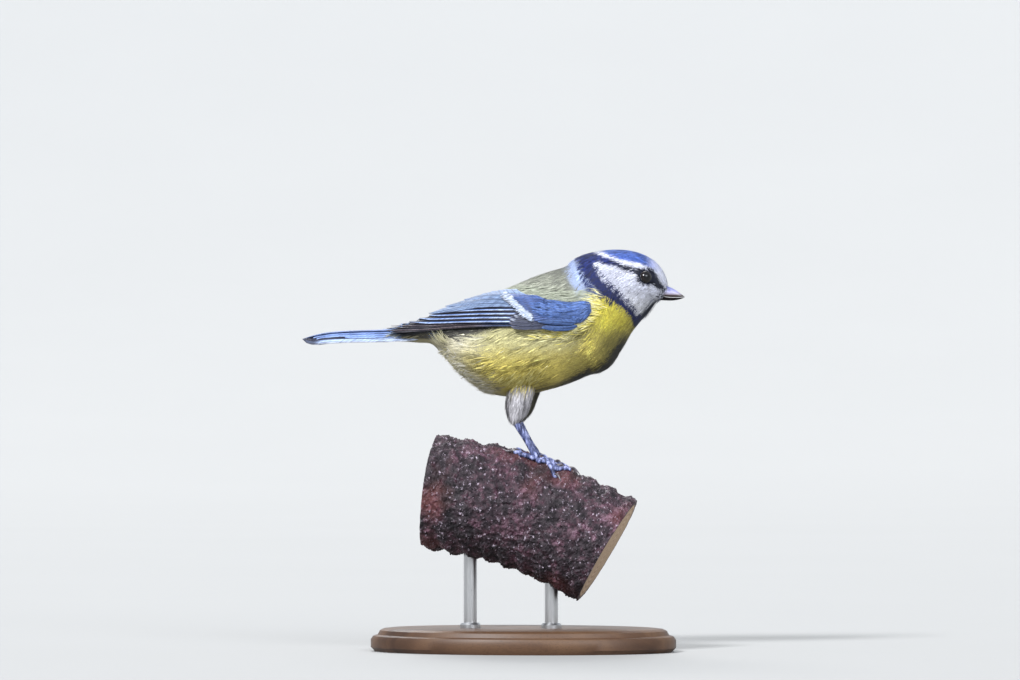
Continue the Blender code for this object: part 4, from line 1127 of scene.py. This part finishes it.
# tufts set along a line on each side: the breast over the wing's front, the shoulder over
# its top, the white bar, plumes under the wing, the vent, the belly over the thigh, the
# rim of the eye, and bristles at the bill and chin. How many and how far they scatter,
# their length, width, lift, lie and tones
fringes = {
    "breast": dict(
        line=((18.3, 47.9), (17.6, 45.4), (15.6, 42), (12.2, 39.3), (7.4, 37.5), (0, 36.8)),
        count=520, scatter=1.1, length=(2.6, 5.4), width=0.20, lift=14, lie=(-1, 0.02),
        spread=0.26, off=0.9, tones=((0.74, 0.63, 0.09), (0.84, 0.80, 0.50)), slot="yellow"),
    "shoulder": dict(
        line=((16.2, 49), (11, 48.4), (5, 48.8), (-1, 49.9), (-6.4, 50.6), (-11.5, 50.3)),
        count=1100, scatter=0.8, length=(2.6, 4.4), width=0.34, lift=8, lie=(-1, -0.30),
        spread=0.12, off=1.2, tones=((0.25, 0.27, 0.20), (0.38, 0.40, 0.32)), slot="grey"),
    "bar": dict(
        line=((-9.8, 49.2), (-7.6, 47.3), (-5.6, 45.2), (-3.6, 43.3), (-2, 42)), onWing=True,
        count=460, scatter=0.34, length=(1.0, 2.1), width=0.32, lift=13, lie=(-1, -0.16),
        spread=0.20, off=3.1, tones=((0.30, 0.36, 0.48), (0.56, 0.61, 0.71)), slot="white"),
    "plume": dict(
        line=((-26.4, 34.3), (-28.4, 34), (-30.2, 33.6)),
        count=46, scatter=0.5, length=(3.8, 6.2), width=0.22, lift=13, lie=(-0.80, 0.60),
        spread=0.18, off=1.0, tones=((0.34, 0.31, 0.15), (0.56, 0.53, 0.38)), slot="yellow"),
    "vent": dict(
        line=((-13, 19.6), (-17.2, 21.9), (-21, 25), (-24.6, 28.6), (-28.6, 31.6)),
        count=520, scatter=0.8, length=(2.6, 4.6), width=0.32, lift=15, lie=(-0.9, -0.30),
        spread=0.24, off=0.7, tones=((0.34, 0.30, 0.14), (0.62, 0.60, 0.53)), slot="white"),
    "belly": dict(
        line=((-9.6, 24.8), (-4, 25), (1.8, 26.4)),
        count=340, scatter=0.9, length=(3.2, 5.0), width=0.30, lift=10, lie=(-0.70, -0.70),
        spread=0.18, off=1.2, tones=((0.24, 0.19, 0.03), (0.44, 0.39, 0.15)), slot="yellow"),
    "lash": dict(
        line=((33.9, 54.3), (33.3, 55.7), (31.95, 56.2), (30.6, 55.7), (30, 54.3), (30.6, 52.9),
              (31.95, 52.4), (33.3, 52.9), (33.9, 54.3)),
        count=120, scatter=0.22, length=(0.8, 1.6), width=0.13, lift=12, spread=0.20, off=0.9,
        tones=((0.004, 0.005, 0.010), (0.020, 0.022, 0.040)), slot="blue"),
    "gape": dict(
        line=((37.3, 51.6), (37.9, 50.2), (37.6, 48.8), (36.6, 48)),
        count=150, scatter=0.26, length=(1.0, 2.0), width=0.11, lift=16, lie=(1, -0.25),
        spread=0.30, off=0.95, tones=((0.010, 0.012, 0.020), (0.55, 0.56, 0.64)), slot="white"),
    "chin": dict(
        line=((36.4, 47.9), (34.8, 46.2), (33.2, 44.4), (31.4, 42.4)),
        count=170, scatter=0.30, length=(1.0, 1.9), width=0.13, lift=26, lie=(-0.45, -0.85),
        spread=0.26, off=0.9, tones=((0.008, 0.012, 0.030), (0.050, 0.060, 0.11)), slot="blue"),
}


def makeFringe(word, part, side, name):
    rng = np.random.default_rng(71)
    count, onTop = part["count"], "onWing" in part
    place = rng.random(count)
    spots = partWay(part["line"], place) + rng.normal(0.0, part["scatter"], (count, 2))
    if onTop:
        root, outward = onWing(spots, np.full(count, part["off"]), side)
    else:
        root, outward = onBody(spots, part["off"], side)
    outward = outward * np.where(outward[:, 1:2] * side < 0, -1.0, 1.0)
    if "lie" in part:
        lie = (part["lie"][0], 0.0, part["lie"][1])
    else:
        lie = unit(root - eyeFrame(side)[0])
    lie = squareTo(outward, lie + rng.normal(0.0, part["spread"], (count, 3)))
    tone = mix(*part["tones"], rng.random(count))
    tone = tone * np.clip(rng.normal(1.0, 0.14, (count, 1)), 0.6, 1.2)
    layTufts(f"{word}_tufts_{name}", "feather_" + part["slot"], fringePlumage, (3, 50, 56), 13, 0.14,
             root=root, outward=outward, lie=lie, length=rng.uniform(*part["length"], count),
             width=part["width"] * rng.uniform(0.8, 1.2, count),
             lift=np.radians(rng.normal(part["lift"], 4.0, count)),
             base=tone * 0.6 if onTop else markings(root) * 0.8, tip=tone,
             bake=np.stack([0.25 + 0.5 * (side > 0) + 0.1 * rng.random(count), place * 0.9], 1))


wingBed = makeWingBed()
vanes = vaneFinish()
fringePlumage = plumageFinish("fringe_plumage")
for word, side in bothSides:
    makeWingPad("wing_" + word, side)
    makeWing("wing_" + word, side)
    for fringe, part in fringes.items():
        makeFringe(fringe, part, side, word)


# The closed tail: twelve feathers, the middle pair on top

tail = {
    "top": ((-31, 39, 1.9), (-38, 38.8, 2.9), (-46.5, 38.5, 3.6), (-57, 38.2, 4), (-64, 37.7, 4),
            (-68.6, 36.8, 3.7), (-71.9, 35.7, 3)),
    "pairs": 6,
    "step": 0.62,
    "out": 0.60,
    "tilt": (4.0, 46.0),
    "webs": (1.15, 2.3),
    "end": (0.86, 0.7),
    "steps": 26,
    "seed": 5,
}


def makeTail():
    draw = random.Random(tail["seed"])
    shell = bmesh.new()
    way = np.linspace(0, 1, tail["steps"] + 1)
    spread = 0.75 + 0.25 * np.clip(way * 2.5, 0.25, 1.0)
    close = 1.02 - 0.40 * way - 0.35 * rise(way, 0.8, 0.2)
    made = 0
    for index in reversed(range(tail["pairs"])):
        for _, side in bothSides:
            reach = 0.998 - 0.010 * index + draw.uniform(-0.004, 0.004)
            x, top, half = partWay(tail["top"], way * reach).T
            across = (0.45 + tail["out"] * index) * half / 4.0
            path = np.stack([x, side * across, top - tail["step"] * index * spread * close], 1)
            share = index / (tail["pairs"] - 1)
            tilt = math.radians(tail["tilt"][0] + (tail["tilt"][1] - tail["tilt"][0]) * share)
            outward = np.tile((0.0, side * math.sin(tilt), math.cos(tilt)), (len(path), 1))
            layFeather(shell, path, outward, tail["webs"], 0.0, side,
                       featherTint("tail", index, tail["pairs"], draw), tail["end"],
                       (made / 12 + 0.004, 0.02, 0.075, 0.96), draw)
            made += 1
    settle(keep("tail_feathers", shell, [vanes]), "feather_blue", "tail")
    print("tail", made, "feathers")


makeTail()


# Eyes, lids and bill

bill = {
    # ridge, mouth and lower edge x and z, and the two halves' half widths
    "rows": ((37.2, 52, 36.4, 48.6, 36.2, 47.3, 2.1, 1.75),
             (39.6, 51.05, 38.4, 48.25, 38.3, 47.2, 1.5, 1.3),
             (40.9, 50.35, 40.1, 48.15, 40, 47.2, 1.15, 1),
             (42.2, 49.45, 41.8, 48.15, 41.7, 47.45, 0.75, 0.62),
             (43.2, 48.7, 43.1, 48.2, 42.9, 47.8, 0.38, 0.3),
             (43.75, 48.25, 43.8, 48.16, 43.4, 48.02, 0.1, 0.08)),
    "gap": 0.07,
    "nostril": (39.2, 50.2, 0.34),
    "round": 0.8,           # the shares of the way round: the rounded side, then the mouth's edge
    "mouth": 0.2,
    "tones": ((0.0, (0.008, 0.004, 0.004)), (0.20, (0.03, 0.016, 0.016)), (0.30, (0.26, 0.23, 0.29)),
              (0.55, (0.28, 0.28, 0.48)), (1.0, (0.10, 0.12, 0.31))),
    "dark": ((0.3, (0.004, 0.003, 0.004)), (0.75, (0.014, 0.010, 0.012))),
    "toneHeights": (48.2, 51.4),
}


def makeBill():
    for name, upper in (("bill_upper", True), ("bill_lower", False)):
        def surface(u, v):
            columns = partWay(bill["rows"], v).T
            ridge, half = (columns[0:2], columns[6]) if upper else (columns[4:6], columns[7])
            lift = unit((ridge - columns[2:4]).T).T
            base = columns[2:4] + lift * bill["gap"]
            height = np.hypot(*(ridge - base))
            # past the rounded side come the mouth's edge and palate
            turn = np.clip(u / bill["round"], 0, 1) * math.pi
            flat = np.clip((u - bill["round"]) / bill["mouth"], 0, 1)
            outer = u <= bill["round"]
            wide = np.where(outer, np.sign(np.cos(turn)) * np.abs(np.cos(turn)) ** 0.8, -1 + 2 * flat)
            climb = np.where(outer, np.abs(np.sin(turn)) ** (1.05 if upper else 1.0),
                             0.12 * np.sin(flat * math.pi))
            x, z = base + lift * height * climb
            points = np.stack([x, half * wide, z], 1)
            if upper:
                atX, atZ, radius = bill["nostril"]
                away = np.hypot(x - atX, (z - atZ) * 1.4) / radius
                points[:, 1] *= 1 - 0.35 * np.exp(-away ** 2)
            return toModel(points)

        piece = gridPiece(name + "_horn", [hornFinish(not upper)], 60, 60, surface)
        settle(piece, "horn" if upper else "horn_dark", name)


def hornFinish(dark):
    made, tree = newFinish("horn_dark" if dark else "horn_pale", Coat_Weight=0.0 if dark else 0.2,
                           Coat_Roughness=0.25, Specular_IOR_Level=0.08 if dark else 0.4)
    grain = grainOf(tree, 5.0, 3.0, (300.0, 1500.0, 1500.0))
    if dark:
        tone = ramp(tree, grain, *bill["dark"])
    else:
        _, _, height = addNode(tree, "SeparateXYZ", {"Vector": place3(tree)}).node.outputs
        low, high = ((home[2] + height) * mm for height in bill["toneHeights"])
        tone = ramp(tree, ranged(tree, height, fromMin=low, fromMax=high), *bill["tones"])
        tone = shaded(tree, tone, grain, 0.3, (0.78, 0.78, 0.80), 0.7)
    return dress(made, tone, (grain, 0.24, 0.42), (grain, 0.15, 0.00008))


def eyeFinish():
    # a dark brown iris round a black pupil, under a clear wet coat
    made, tree = newFinish("eye_glass", Roughness=0.08, Coat_Weight=1.0, Coat_Roughness=0.20,
                           Coat_IOR=1.42, Specular_IOR_Level=0.0)
    spot = addNode(tree, "UVMap", {}, uv_map="iris")
    away = addNode(tree, "VectorMath", {0: spot}, "Value", operation="LENGTH")
    return dress(made, ramp(
        tree, away, (0.0, (0.002, 0.002, 0.003)), (0.40, (0.002, 0.002, 0.003)),
        (eyeShape["iris"], (0.007, 0.003, 0.003)), (0.66, (0.004, 0.002, 0.002)),
        (0.74, (0.002, 0.002, 0.002))))


def makeEyes():
    glass = eyeFinish()
    lids = grainFinish("lid_skin", (2600.0, 2.0),
                       ((0.54, (0.005, 0.005, 0.008)), (0.68, (0.16, 0.17, 0.21))),
                       relief=(0.5, 0.0001), Roughness=0.6)
    for word, side in bothSides:
        name = "eye_" + word
        root, outward = eyeFrame(side)
        across = unit(np.cross(outward, (0.0, 0.0, 1.0)))
        up = np.cross(across, outward)
        shell = bmesh.new()
        bmesh.ops.create_icosphere(shell, subdivisions=5, radius=eyeShape["radius"])
        spot = shell.loops.layers.uv.new("iris")
        for face in shell.faces:
            for loop in face.loops:
                way = loop.vert.co.normalized()
                far = math.acos(max(-1.0, min(1.0, way.dot(Vector(outward))))) / (math.pi / 2)
                turn = math.atan2(way.dot(Vector(up)), way.dot(Vector(across)))
                loop[spot].uv = (far * math.cos(turn), far * math.sin(turn))
        for vert in shell.verts:
            vert.co = toModel(np.array(vert.co) + root - outward * eyeShape["sunk"])
        settle(keep(name + "_ball", shell, [glass]), "eye", name)

        def rim(u, v):
            turn, bend = v * tau, u * tau
            notch = 1 + 0.10 * np.sin(turn * 17) + 0.06 * np.sin(turn * 31 + 1)
            thick = eyeShape["lidThick"] * notch * (1 - 0.25 * np.abs(np.cos(turn)))
            reach = eyeShape["lidRadius"] * (1 - 0.06 * np.abs(np.sin(turn))) + thick * np.cos(bend)
            spoke = across * np.cos(turn)[:, None] + up * np.sin(turn)[:, None]
            return toModel(root - outward * eyeShape["lidSunk"] + spoke * reach[:, None]
                           + outward * (thick * np.sin(bend))[:, None])

        settle(gridPiece(name + "_lids", [lids], 12, 120, rim, capEnds=False), "eye")


makeEyes()
makeBill()
print("head details made")


# The branch, cut to length, and the bark that the toes hold

branch = {
    "radius": 17.0,
    "bend": 142.0,
    "footAngle": 19.0,
    "halfAngle": 11.5,
    "waveDepth": 0.75,
    "waves": 14,
    "seed": 7,
    "grid": (240, 330),
    "endShare": 0.055,
    "grain": 0.50,
    "tones": ((0.39, (0.004, 0.002, 0.004)), (0.49, (0.020, 0.010, 0.016)),
              (0.56, (0.056, 0.021, 0.034)), (0.65, (0.19, 0.10, 0.145))),
    "red": (0.12, 0.026, 0.020),
    "speck": (0.46, 0.38, 0.46),
    "ring": ((0.0, (0.26, 0.16, 0.09)), (0.55, (0.40, 0.27, 0.16)), (1.0, (0.46, 0.33, 0.21))),
    "ringEdge": (0.045, 0.028, 0.030),
}


def branchWaves():
    # long swells of the bark: turns round and along, start and size
    draw = random.Random(branch["seed"])
    return [(draw.randint(1, 7), draw.uniform(-34, 34), draw.uniform(0, tau), draw.uniform(0.4, 1.0))
            for _ in range(branch["waves"])]


def branchAt(share, turn, inward):
    # share runs from -1 to 1 along the branch, turn round it from the top
    far = branch["bend"] + branch["radius"]
    foot = math.radians(branch["footAngle"])
    centre = np.array((-far * math.sin(foot), 0.0, -far * math.cos(foot)))
    angle = foot + share * math.radians(branch["halfAngle"])
    up = np.stack([np.sin(angle), np.zeros_like(angle), np.cos(angle)], 1)
    swell = sum(size * np.sin(around * turn + along * share + start)
                for around, along, start, size in waves)
    swell = branch["waveDepth"] * swell / math.sqrt(branch["waves"])
    radius = (branch["radius"] + swell) * (1 - inward)
    spoke = up * np.cos(turn)[:, None] + np.array((0.0, -1.0, 0.0)) * np.sin(turn)[:, None]
    points = centre + up * branch["bend"] + spoke * radius[:, None]
    lumps = np.array([noise.fractal(Vector(point) * 0.55, 0.9, 2.1, 4) for point in points])
    pits, crumbs, grit = (noiseAt(points, scale) for scale in (1.9, 0.9, 2.9))
    rough = lumps + 0.75 * pits - 1.1 * np.abs(crumbs) + 0.45 * grit + 0.2
    return points + spoke * (rough * branch["grain"] * (1 - inward) ** 2)[:, None]


def barkFinish():
    made, tree = newFinish("bark_skin")
    where = place3(tree)
    coarse = grainOf(tree, 85.0, 6.0, where=where, Roughness=0.62)
    middle = grainOf(tree, 380.0, 5.0, where=where, Roughness=0.7)
    fine = grainOf(tree, 900.0, 4.0, where=where, Roughness=0.7)
    cells = addNode(tree, "TexVoronoi", {"Vector": where, "Scale": 520.0}, "Distance")
    tone = ramp(tree, addNode(tree, "Mix", {0: 0.55, 2: coarse, 3: middle}), *branch["tones"])
    red = ranged(tree, grainOf(tree, 42.0, 3.0, where=where), 0.0, 0.55, 0.52, 0.66)
    tone = blend(tree, red, tone, branch["red"])
    tone = blend(tree, ranged(tree, fine, 0.0, 0.9, 0.60, 0.67), tone, branch["speck"])
    return dress(made, tone, (middle, 0.95, 0.30, 0.35, 0.65),
                 (worked(tree, "ADD", fine, cells), 0.9, 0.0007))


def sawnFinish():
    # growth rings on the sawn ends, round the branch's own middle line
    made, tree = newFinish("sawn_wood")
    away = addNode(tree, "SeparateXYZ", {"Vector": addNode(tree, "UVMap", {}, uv_map="rings")})
    bend = worked(tree, "MULTIPLY_ADD", grainOf(tree, 120.0, 3.0), 0.09, away)
    wave = worked(tree, "SINE", worked(tree, "MULTIPLY", bend, 62.0))
    tone = ramp(tree, ranged(tree, wave, fromMin=-1.0), *branch["ring"])
    tone = blend(tree, ranged(tree, away, fromMin=0.90, fromMax=0.94), tone, branch["ringEdge"])
    fine = grainOf(tree, 700.0, 3.0)
    return dress(made, tone, (fine, 0.6, 0.9), (fine, 0.4, 0.0002))


def makeBranch():
    edge = branch["endShare"]

    def surface(u, v):
        share = np.clip((v - edge) / (1 - 2 * edge), 0, 1) * 2 - 1
        inward = np.clip(1 - np.minimum(v, 1 - v) / edge, 0, 0.995)
        return toModel(branchAt(share, -u * tau, inward))

    shell = bmesh.new()
    wrappedGrid(shell, *branch["grid"], surface)
    tree = BVHTree.FromBMesh(shell)
    rings = shell.loops.layers.uv.new("rings")
    bake = shell.loops.layers.uv["OFBake"]
    for face in shell.faces:
        middle = sum(loop[bake].uv.y for loop in face.loops) / len(face.loops)
        face.material_index = int(middle < edge or middle > 1 - edge or len(face.verts) > 4)
        for loop in face.loops:
            v = loop[bake].uv.y
            loop[rings].uv = (min(1.0, min(v, 1 - v) / edge), 0.0)
    shell.loops.layers.uv.remove(bake)
    piece = keep("perch_bark", shell, [barkFinish(), sawnFinish()])
    piece.data.set_sharp_from_angle(angle=math.radians(50))
    settle(piece, "bark", "perch")
    return tree


waves = branchWaves()
barkTree = makeBranch()
print("branch made")


# Legs and feet

foot = {
    "hubRadius": 1.25,
    "hubLift": 0.12,
    "toeLift": 0.05,
    # heading in degrees, length, radius at the root and at the tip, and the claw's length
    "toes": ((2, 10.2, 0.78, 0.54, 3.6), (23, 7.2, 0.68, 0.48, 3.1), (-30, 7.8, 0.68, 0.48, 3.1),
             (184, 6.4, 0.82, 0.58, 4.6)),
    "shank": ((1, 1.05), (1.05, 1.12), (0.72, 0.86), (0.8, 0.92), (1.02, 1.12), (0.9, 1)),
    "shankGrid": (24, 120),
    "toeGrid": (24, 72),
    "clawGrid": (16, 28),
    "hint": (0.3, 1.0, 0.2),
    "scutes": 13,
    "scuteDepth": 0.10,
}


def onBark(point, lift):
    start = Vector(toModel(point + (0.0, 0.0, 20.0)))
    hit, outward, _, _ = barkTree.ray_cast(start, Vector((0.0, 0.0, -1.0)))
    return np.array(hit) / mm - home + np.array(outward) * lift


def tubeAlong(shell, path, radii, grid, hint, swell=None):
    # a round bar through the path's points, its radii across and over given at each
    last, hint = len(path) - 1, np.array(hint)

    def surface(u, v):
        place, turn = v * last, u * tau
        ahead = unit(curveThrough(path, np.minimum(place + 0.02, last))
                     - curveThrough(path, np.maximum(place - 0.02, 0.0)))
        across = unit(hint - ahead * (ahead @ hint)[:, None])
        wide, deep = curveThrough(radii, place).T * (swell(v, turn) if swell else 1.0)
        return toModel(curveThrough(path, place) + across * (wide * np.cos(turn))[:, None]
                       + np.cross(ahead, across) * (deep * np.sin(turn))[:, None])

    wrappedGrid(shell, *grid, surface)


def scaleFinish():
    # blue-grey scutes with dark seams, streaked along the shank with pale painted highlights
    made, tree = newFinish("scaled_skin", Coat_Weight=0.06, Coat_Roughness=0.3, Specular_IOR_Level=0.3)
    where = place3(tree)
    cells = addNode(tree, "TexVoronoi", {"Vector": where, "Scale": 1500.0}, "Distance",
                    feature="DISTANCE_TO_EDGE")
    streak = grainOf(tree, 1.0, 3.0, (1100.0, 1100.0, 260.0), where)
    # dark, blue-grey and pale streaks; the palest are painted highlights
    tone = ramp(tree, streak, (0.38, (0.020, 0.024, 0.07)), (0.52, (0.10, 0.12, 0.26)),
                (0.64, (0.36, 0.39, 0.66)))
    seam = ranged(tree, cells, 0.45, 1.0, 0.0, 0.08)
    return dress(made, blend(tree, 1.0, tone, seam, "MULTIPLY"), (streak, 0.34, 0.56),
                 (seam, 0.4, 0.0001))


def sawTooth(turns):
    return turns % 1.0 - 0.5


def makeLeg(word, side, skinFinish, hornTip):
    _, ankle, hub = legPoints(side)
    hub[2] = onBark(hub, 0.0)[2] + foot["hubRadius"] + foot["hubLift"]
    up = unit(ankle - hub)

    def scutes(v, turn):
        # overlapping scutes down the shank's front, smooth behind
        front = rise(np.cos(turn - math.pi / 2), -0.2, 0.6)
        return 1 + front * foot["scuteDepth"] * sawTooth(v * foot["scutes"])

    shell, claws = bmesh.new(), bmesh.new()
    shank = [ankle + up * 1.6, ankle - up * 0.6, ankle + (hub - ankle) * 0.5, hub + up * 2.6,
             hub + up * 0.6, hub - up * 0.5]
    tubeAlong(shell, shank, foot["shank"], foot["shankGrid"], (0.0, 1.0, 0.0), scutes)
    reach = np.linspace(0, 1, 7)
    for turn, length, thick, thin, claw in foot["toes"]:
        angle = math.radians(turn * -side)
        heading = np.array((math.cos(angle), math.sin(angle), 0.0))
        sizes = thick + (thin - thick) * reach
        path = [hub - up * 0.2]
        path += [onBark(hub + heading * length * share, size + foot["toeLift"])
                 for share, size in zip(reach[1:], sizes[1:])]

        def joints(v, turned):
            # swollen pads under the joints and small scutes over the top
            knuckle = 0.14 * np.sin(3 * math.pi * v) ** 2
            scute = foot["scuteDepth"] * sawTooth(v * length * 1.3)
            return 1 + knuckle + scute * rise(np.sin(turned), -0.3, 0.5)

        tubeAlong(shell, path, [(size, size) for size in sizes], foot["toeGrid"], foot["hint"], joints)
        ahead = unit(path[-1] - path[-2])
        root = path[-1] - ahead * 0.6
        arc, sizes = [], []
        for share in reach:
            high = 0.25 + 0.5 * math.sin(math.pi * share) - claw * 0.42 * share ** 2
            point = root + ahead * claw * 0.95 * share + (0.0, 0.0, high)
            size = 0.44 * (1 - share) ** 0.75 + 0.05
            low = onBark(point, size * 0.5)
            arc.append(low if point[2] < low[2] else point)
            sizes.append((size * 0.8, size * 1.1))
        tubeAlong(claws, arc, sizes, foot["clawGrid"], foot["hint"])
    settle(keep("leg_" + word, shell, [skinFinish]), "scaled_skin", "shank_" + word, "foot_" + word)
    settle(keep("claws_" + word, claws, [hornTip]), "horn_dark")


def makeThighFeathers(word, side):
    surface = thighAt(side, legShape["coat"])
    rng = np.random.default_rng(61)
    count = legShape["tufts"]
    hip, ankle, _ = legPoints(side)
    place, angle = thighEnd * rng.random(count) ** 0.85, tau * rng.random(count)
    root = surface(place, angle)
    share = curveThrough(legShape["thigh"], place)[:, 0]
    lie = unit(surface(np.minimum(place + 0.05, thighEnd), angle)
               - surface(np.maximum(place - 0.05, 0.0), angle))
    outward = squareTo(lie, root - hip - (ankle - hip) * share[:, None])
    x, y, z = root.T
    grooves = noiseAt(np.stack([x * 1.6 + z * 0.5, y * 1.6, z * 0.3], 1))
    tone = legShape["grey"] * (1 + rng.normal(0.0, 0.10, (count, 1)))
    tone = tone * np.clip(0.92 + 0.9 * grooves, 0.30, 1.15)[:, None]
    # yellowish where it leaves the belly, darker behind with painted shade, and on the side facing the
    # body a dark olive that is partly the feathers' own and partly painted shade
    tone = mix(tone, markings(root, 0.22), rise(z - 21.2 + rng.normal(0.0, 0.7, count), 0, 2.4))
    tone = tone * (1 - 0.55 * rise(-outward[:, 0], 0.55, 0.3))[:, None]
    tone = mix(tone, legShape["inner"], 0.92 * rise(np.abs(y), 6.8, -1.4))
    shrink = 1 - 0.50 * rise(place, 2.6, 1.4)
    bake = np.stack([0.5 * (side > 0) + 0.5 * angle / tau, 0.91 + 0.09 * place / thighEnd], 1)
    layTufts("thigh_feathers_" + word, "feather_grey", plumageFinish("thigh_plumage_" + word),
             (4, 30, 36), 9, 0.12, root=root, outward=outward, lie=lie,
             length=rng.uniform(3.2, 4.6, count) * shrink,
             width=rng.uniform(0.32, 0.48, count) * shrink,
             lift=np.radians(rng.normal(10.0, 3.0, count)), base=tone * 0.5, tip=tone, bake=bake)


legSkin = scaleFinish()
clawHorn = grainFinish("claw_horn", (700.0, 3.0),
                       ((0.3, (0.030, 0.026, 0.032)), (0.7, (0.12, 0.105, 0.12))), (0.28, 0.45),
                       Coat_Weight=0.2, Coat_Roughness=0.2)
for word, side in bothSides:
    makeLeg(word, side, legSkin, clawHorn)
    makeThighFeathers(word, side)
print("legs made")


# The display stand: an oval walnut base and two steel rods into the branch

stand = {
    "length": 92.0,
    "width": 58.0,
    "thick": 7.0,
    "x": 9.0,
    "profile": ((0, 0), (0.972, 0), (1, 0.18), (1, 0.52), (0.985, 0.66), (0.955, 0.72),
                (0.948, 0.8), (0.94, 0.9), (0.915, 0.975), (0.88, 1), (0, 1)),
    "rods": {"stand_rod_front": 17.5, "stand_rod_back": -7.0},
    "rodRadius": 2.0,
    "rodEdge": 0.3,
    "ferrule": (3.1, 1.6),
    "walnut": ((0.30, (0.034, 0.016, 0.009)), (0.50, (0.075, 0.037, 0.019)),
               (0.70, (0.13, 0.070, 0.036))),
    "steel": ((0.3, (0.46, 0.47, 0.48)), (0.7, (0.62, 0.62, 0.63))),
}


def turned(name, profile, finish, x, wide=1.0, steps=64):
    piece = keep(name, spunShape(profile, steps, x=x, wide=wide), [finish])
    piece.data.set_sharp_from_angle(angle=math.radians(35))
    return piece


def walnutFinish():
    made, tree = newFinish("walnut", Coat_Weight=0.05, Coat_Roughness=0.35, Specular_IOR_Level=0.3)
    figure = grainOf(tree, 1.0, 5.0, (14.0, 110.0, 60.0), Distortion=0.6)
    pores = grainOf(tree, 5.0, 2.0, (130.0, 2400.0, 2400.0))
    tone = shaded(tree, ramp(tree, figure, *stand["walnut"]), pores, 0.34, (0.45, 0.45, 0.45), 0.46)
    return dress(made, tone, (figure, 0.38, 0.56), (pores, 0.12, 0.0001))


def makeStand():
    half, bottom = stand["length"] / 2, stand["thick"]
    profile = [(radius * half, height * bottom) for radius, height in stand["profile"]]
    base = turned("stand_base_walnut", profile, walnutFinish(), stand["x"],
                  stand["width"] / stand["length"], 128)
    settle(base, "stand_wood", "stand_base")
    steel = grainFinish("brushed_steel", (5.0, 3.0, (2600.0, 2600.0, 60.0)), stand["steel"],
                        (0.22, 0.40), Metallic=1.0)
    radius, edge, (rim, tall) = stand["rodRadius"], stand["rodEdge"], stand["ferrule"]
    for name, x in stand["rods"].items():
        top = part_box(name)[1][2] / mm
        rod = [(0.0, bottom - 2.0), (radius, bottom - 2.0), (radius, top - edge), (radius - edge, top),
               (0.0, top)]
        settle(turned(name + "_steel", rod, steel, x), "stand_steel", name)
        collar = [(radius - 0.2, bottom), (rim, bottom), (rim, bottom + tall * 0.6),
                  (rim - 0.45, bottom + tall), (radius - 0.2, bottom + tall), (radius - 0.2, bottom)]
        settle(turned(name + "_collar", collar, steel, x), "stand_steel")


makeStand()
print("stand made")


# Floor, light and camera

studio = {
    "floor": (0.33, 0.33, 0.325),
    "bowl": 3.9,                  # the studio bowl's radius in metres, how much of it is flat,
    "flat": 0.42,                 # how high its curve rises and how high its wall stands
    "curve": 0.3,
    "wall": 1.3,
    "sky": ((0.88, 0.93, 1.0), 0.75),
    # far soft lights from the upper left, from behind and from the right: from where, how
    # strong, how wide in degrees, and their colour
    "suns": {
        "key": ((-0.50, -1.0, 0.90), 4.3, 11.0, (0.95, 0.97, 1.0)),
        "rim": ((-0.3, 0.85, 1.0), 1.6, 30.0, (1.0, 1.0, 1.0)),
        "fill": ((0.68, -1.0, 0.52), 2.9, 34.0, (0.92, 0.95, 1.0)),
    },
    "aim": (-9.0, 0.0, 35.4),     # the photo's middle, on the bird's own scale
    "frameWidth": 306.0,
    "distance": 2200.0,
    "azimuth": 7.0,
    "sensor": 36.0,
}


def makeStudio():
    bowl, flat = studio["bowl"], studio["flat"]
    profile = [(0.0, 0.0)]
    for turn in np.linspace(0.0, math.pi / 2, 17):
        profile.append((bowl * (flat + (1 - flat) * math.sin(turn)),
                        bowl * studio["curve"] * (1 - math.cos(turn))))
    profile.append((bowl, studio["wall"]))
    pale = studio["floor"]
    finish = grainFinish("studio_floor", (6.0, 3.0), ((0.3, [value * 0.985 for value in pale]),
                                                      (0.7, pale)), Roughness=0.75)
    floor = keep("studio_floor", spunShape(profile, 96, 1.0, 1e-6), [finish])

    scene = bpy.context.scene
    scene.world = bpy.data.worlds.new("studio")
    scene.world.use_nodes = True
    sky = scene.world.node_tree.nodes["Background"].inputs
    colour, sky["Strength"].default_value = studio["sky"]
    sky["Color"].default_value = (*colour, 1.0)
    for name, (spot, strength, width, colour) in studio["suns"].items():
        lamp = bpy.data.lights.new(name, "SUN")
        lamp.energy, lamp.angle, lamp.color = strength, math.radians(width), colour
        holder = newObject(name, lamp)
        holder.location = spot
        holder.rotation_euler = (-Vector(spot)).to_track_quat("-Z", "Y").to_euler()

    lens = bpy.data.cameras.new("camera")
    camera = newObject("camera", lens)
    turn = math.radians(studio["azimuth"])
    back = Vector((math.sin(turn), -math.cos(turn), 0.0))
    camera.location = Vector(toModel(studio["aim"])) + back * studio["distance"] * mm
    camera.rotation_euler = (-back).to_track_quat("-Z", "Y").to_euler()
    lens.sensor_width = studio["sensor"]
    lens.lens = studio["sensor"] * studio["distance"] / studio["frameWidth"]
    lens.clip_end = 20.0
    scene.camera = camera
    scene.view_settings.view_transform = "Standard"


makeStudio()
print("studio made")
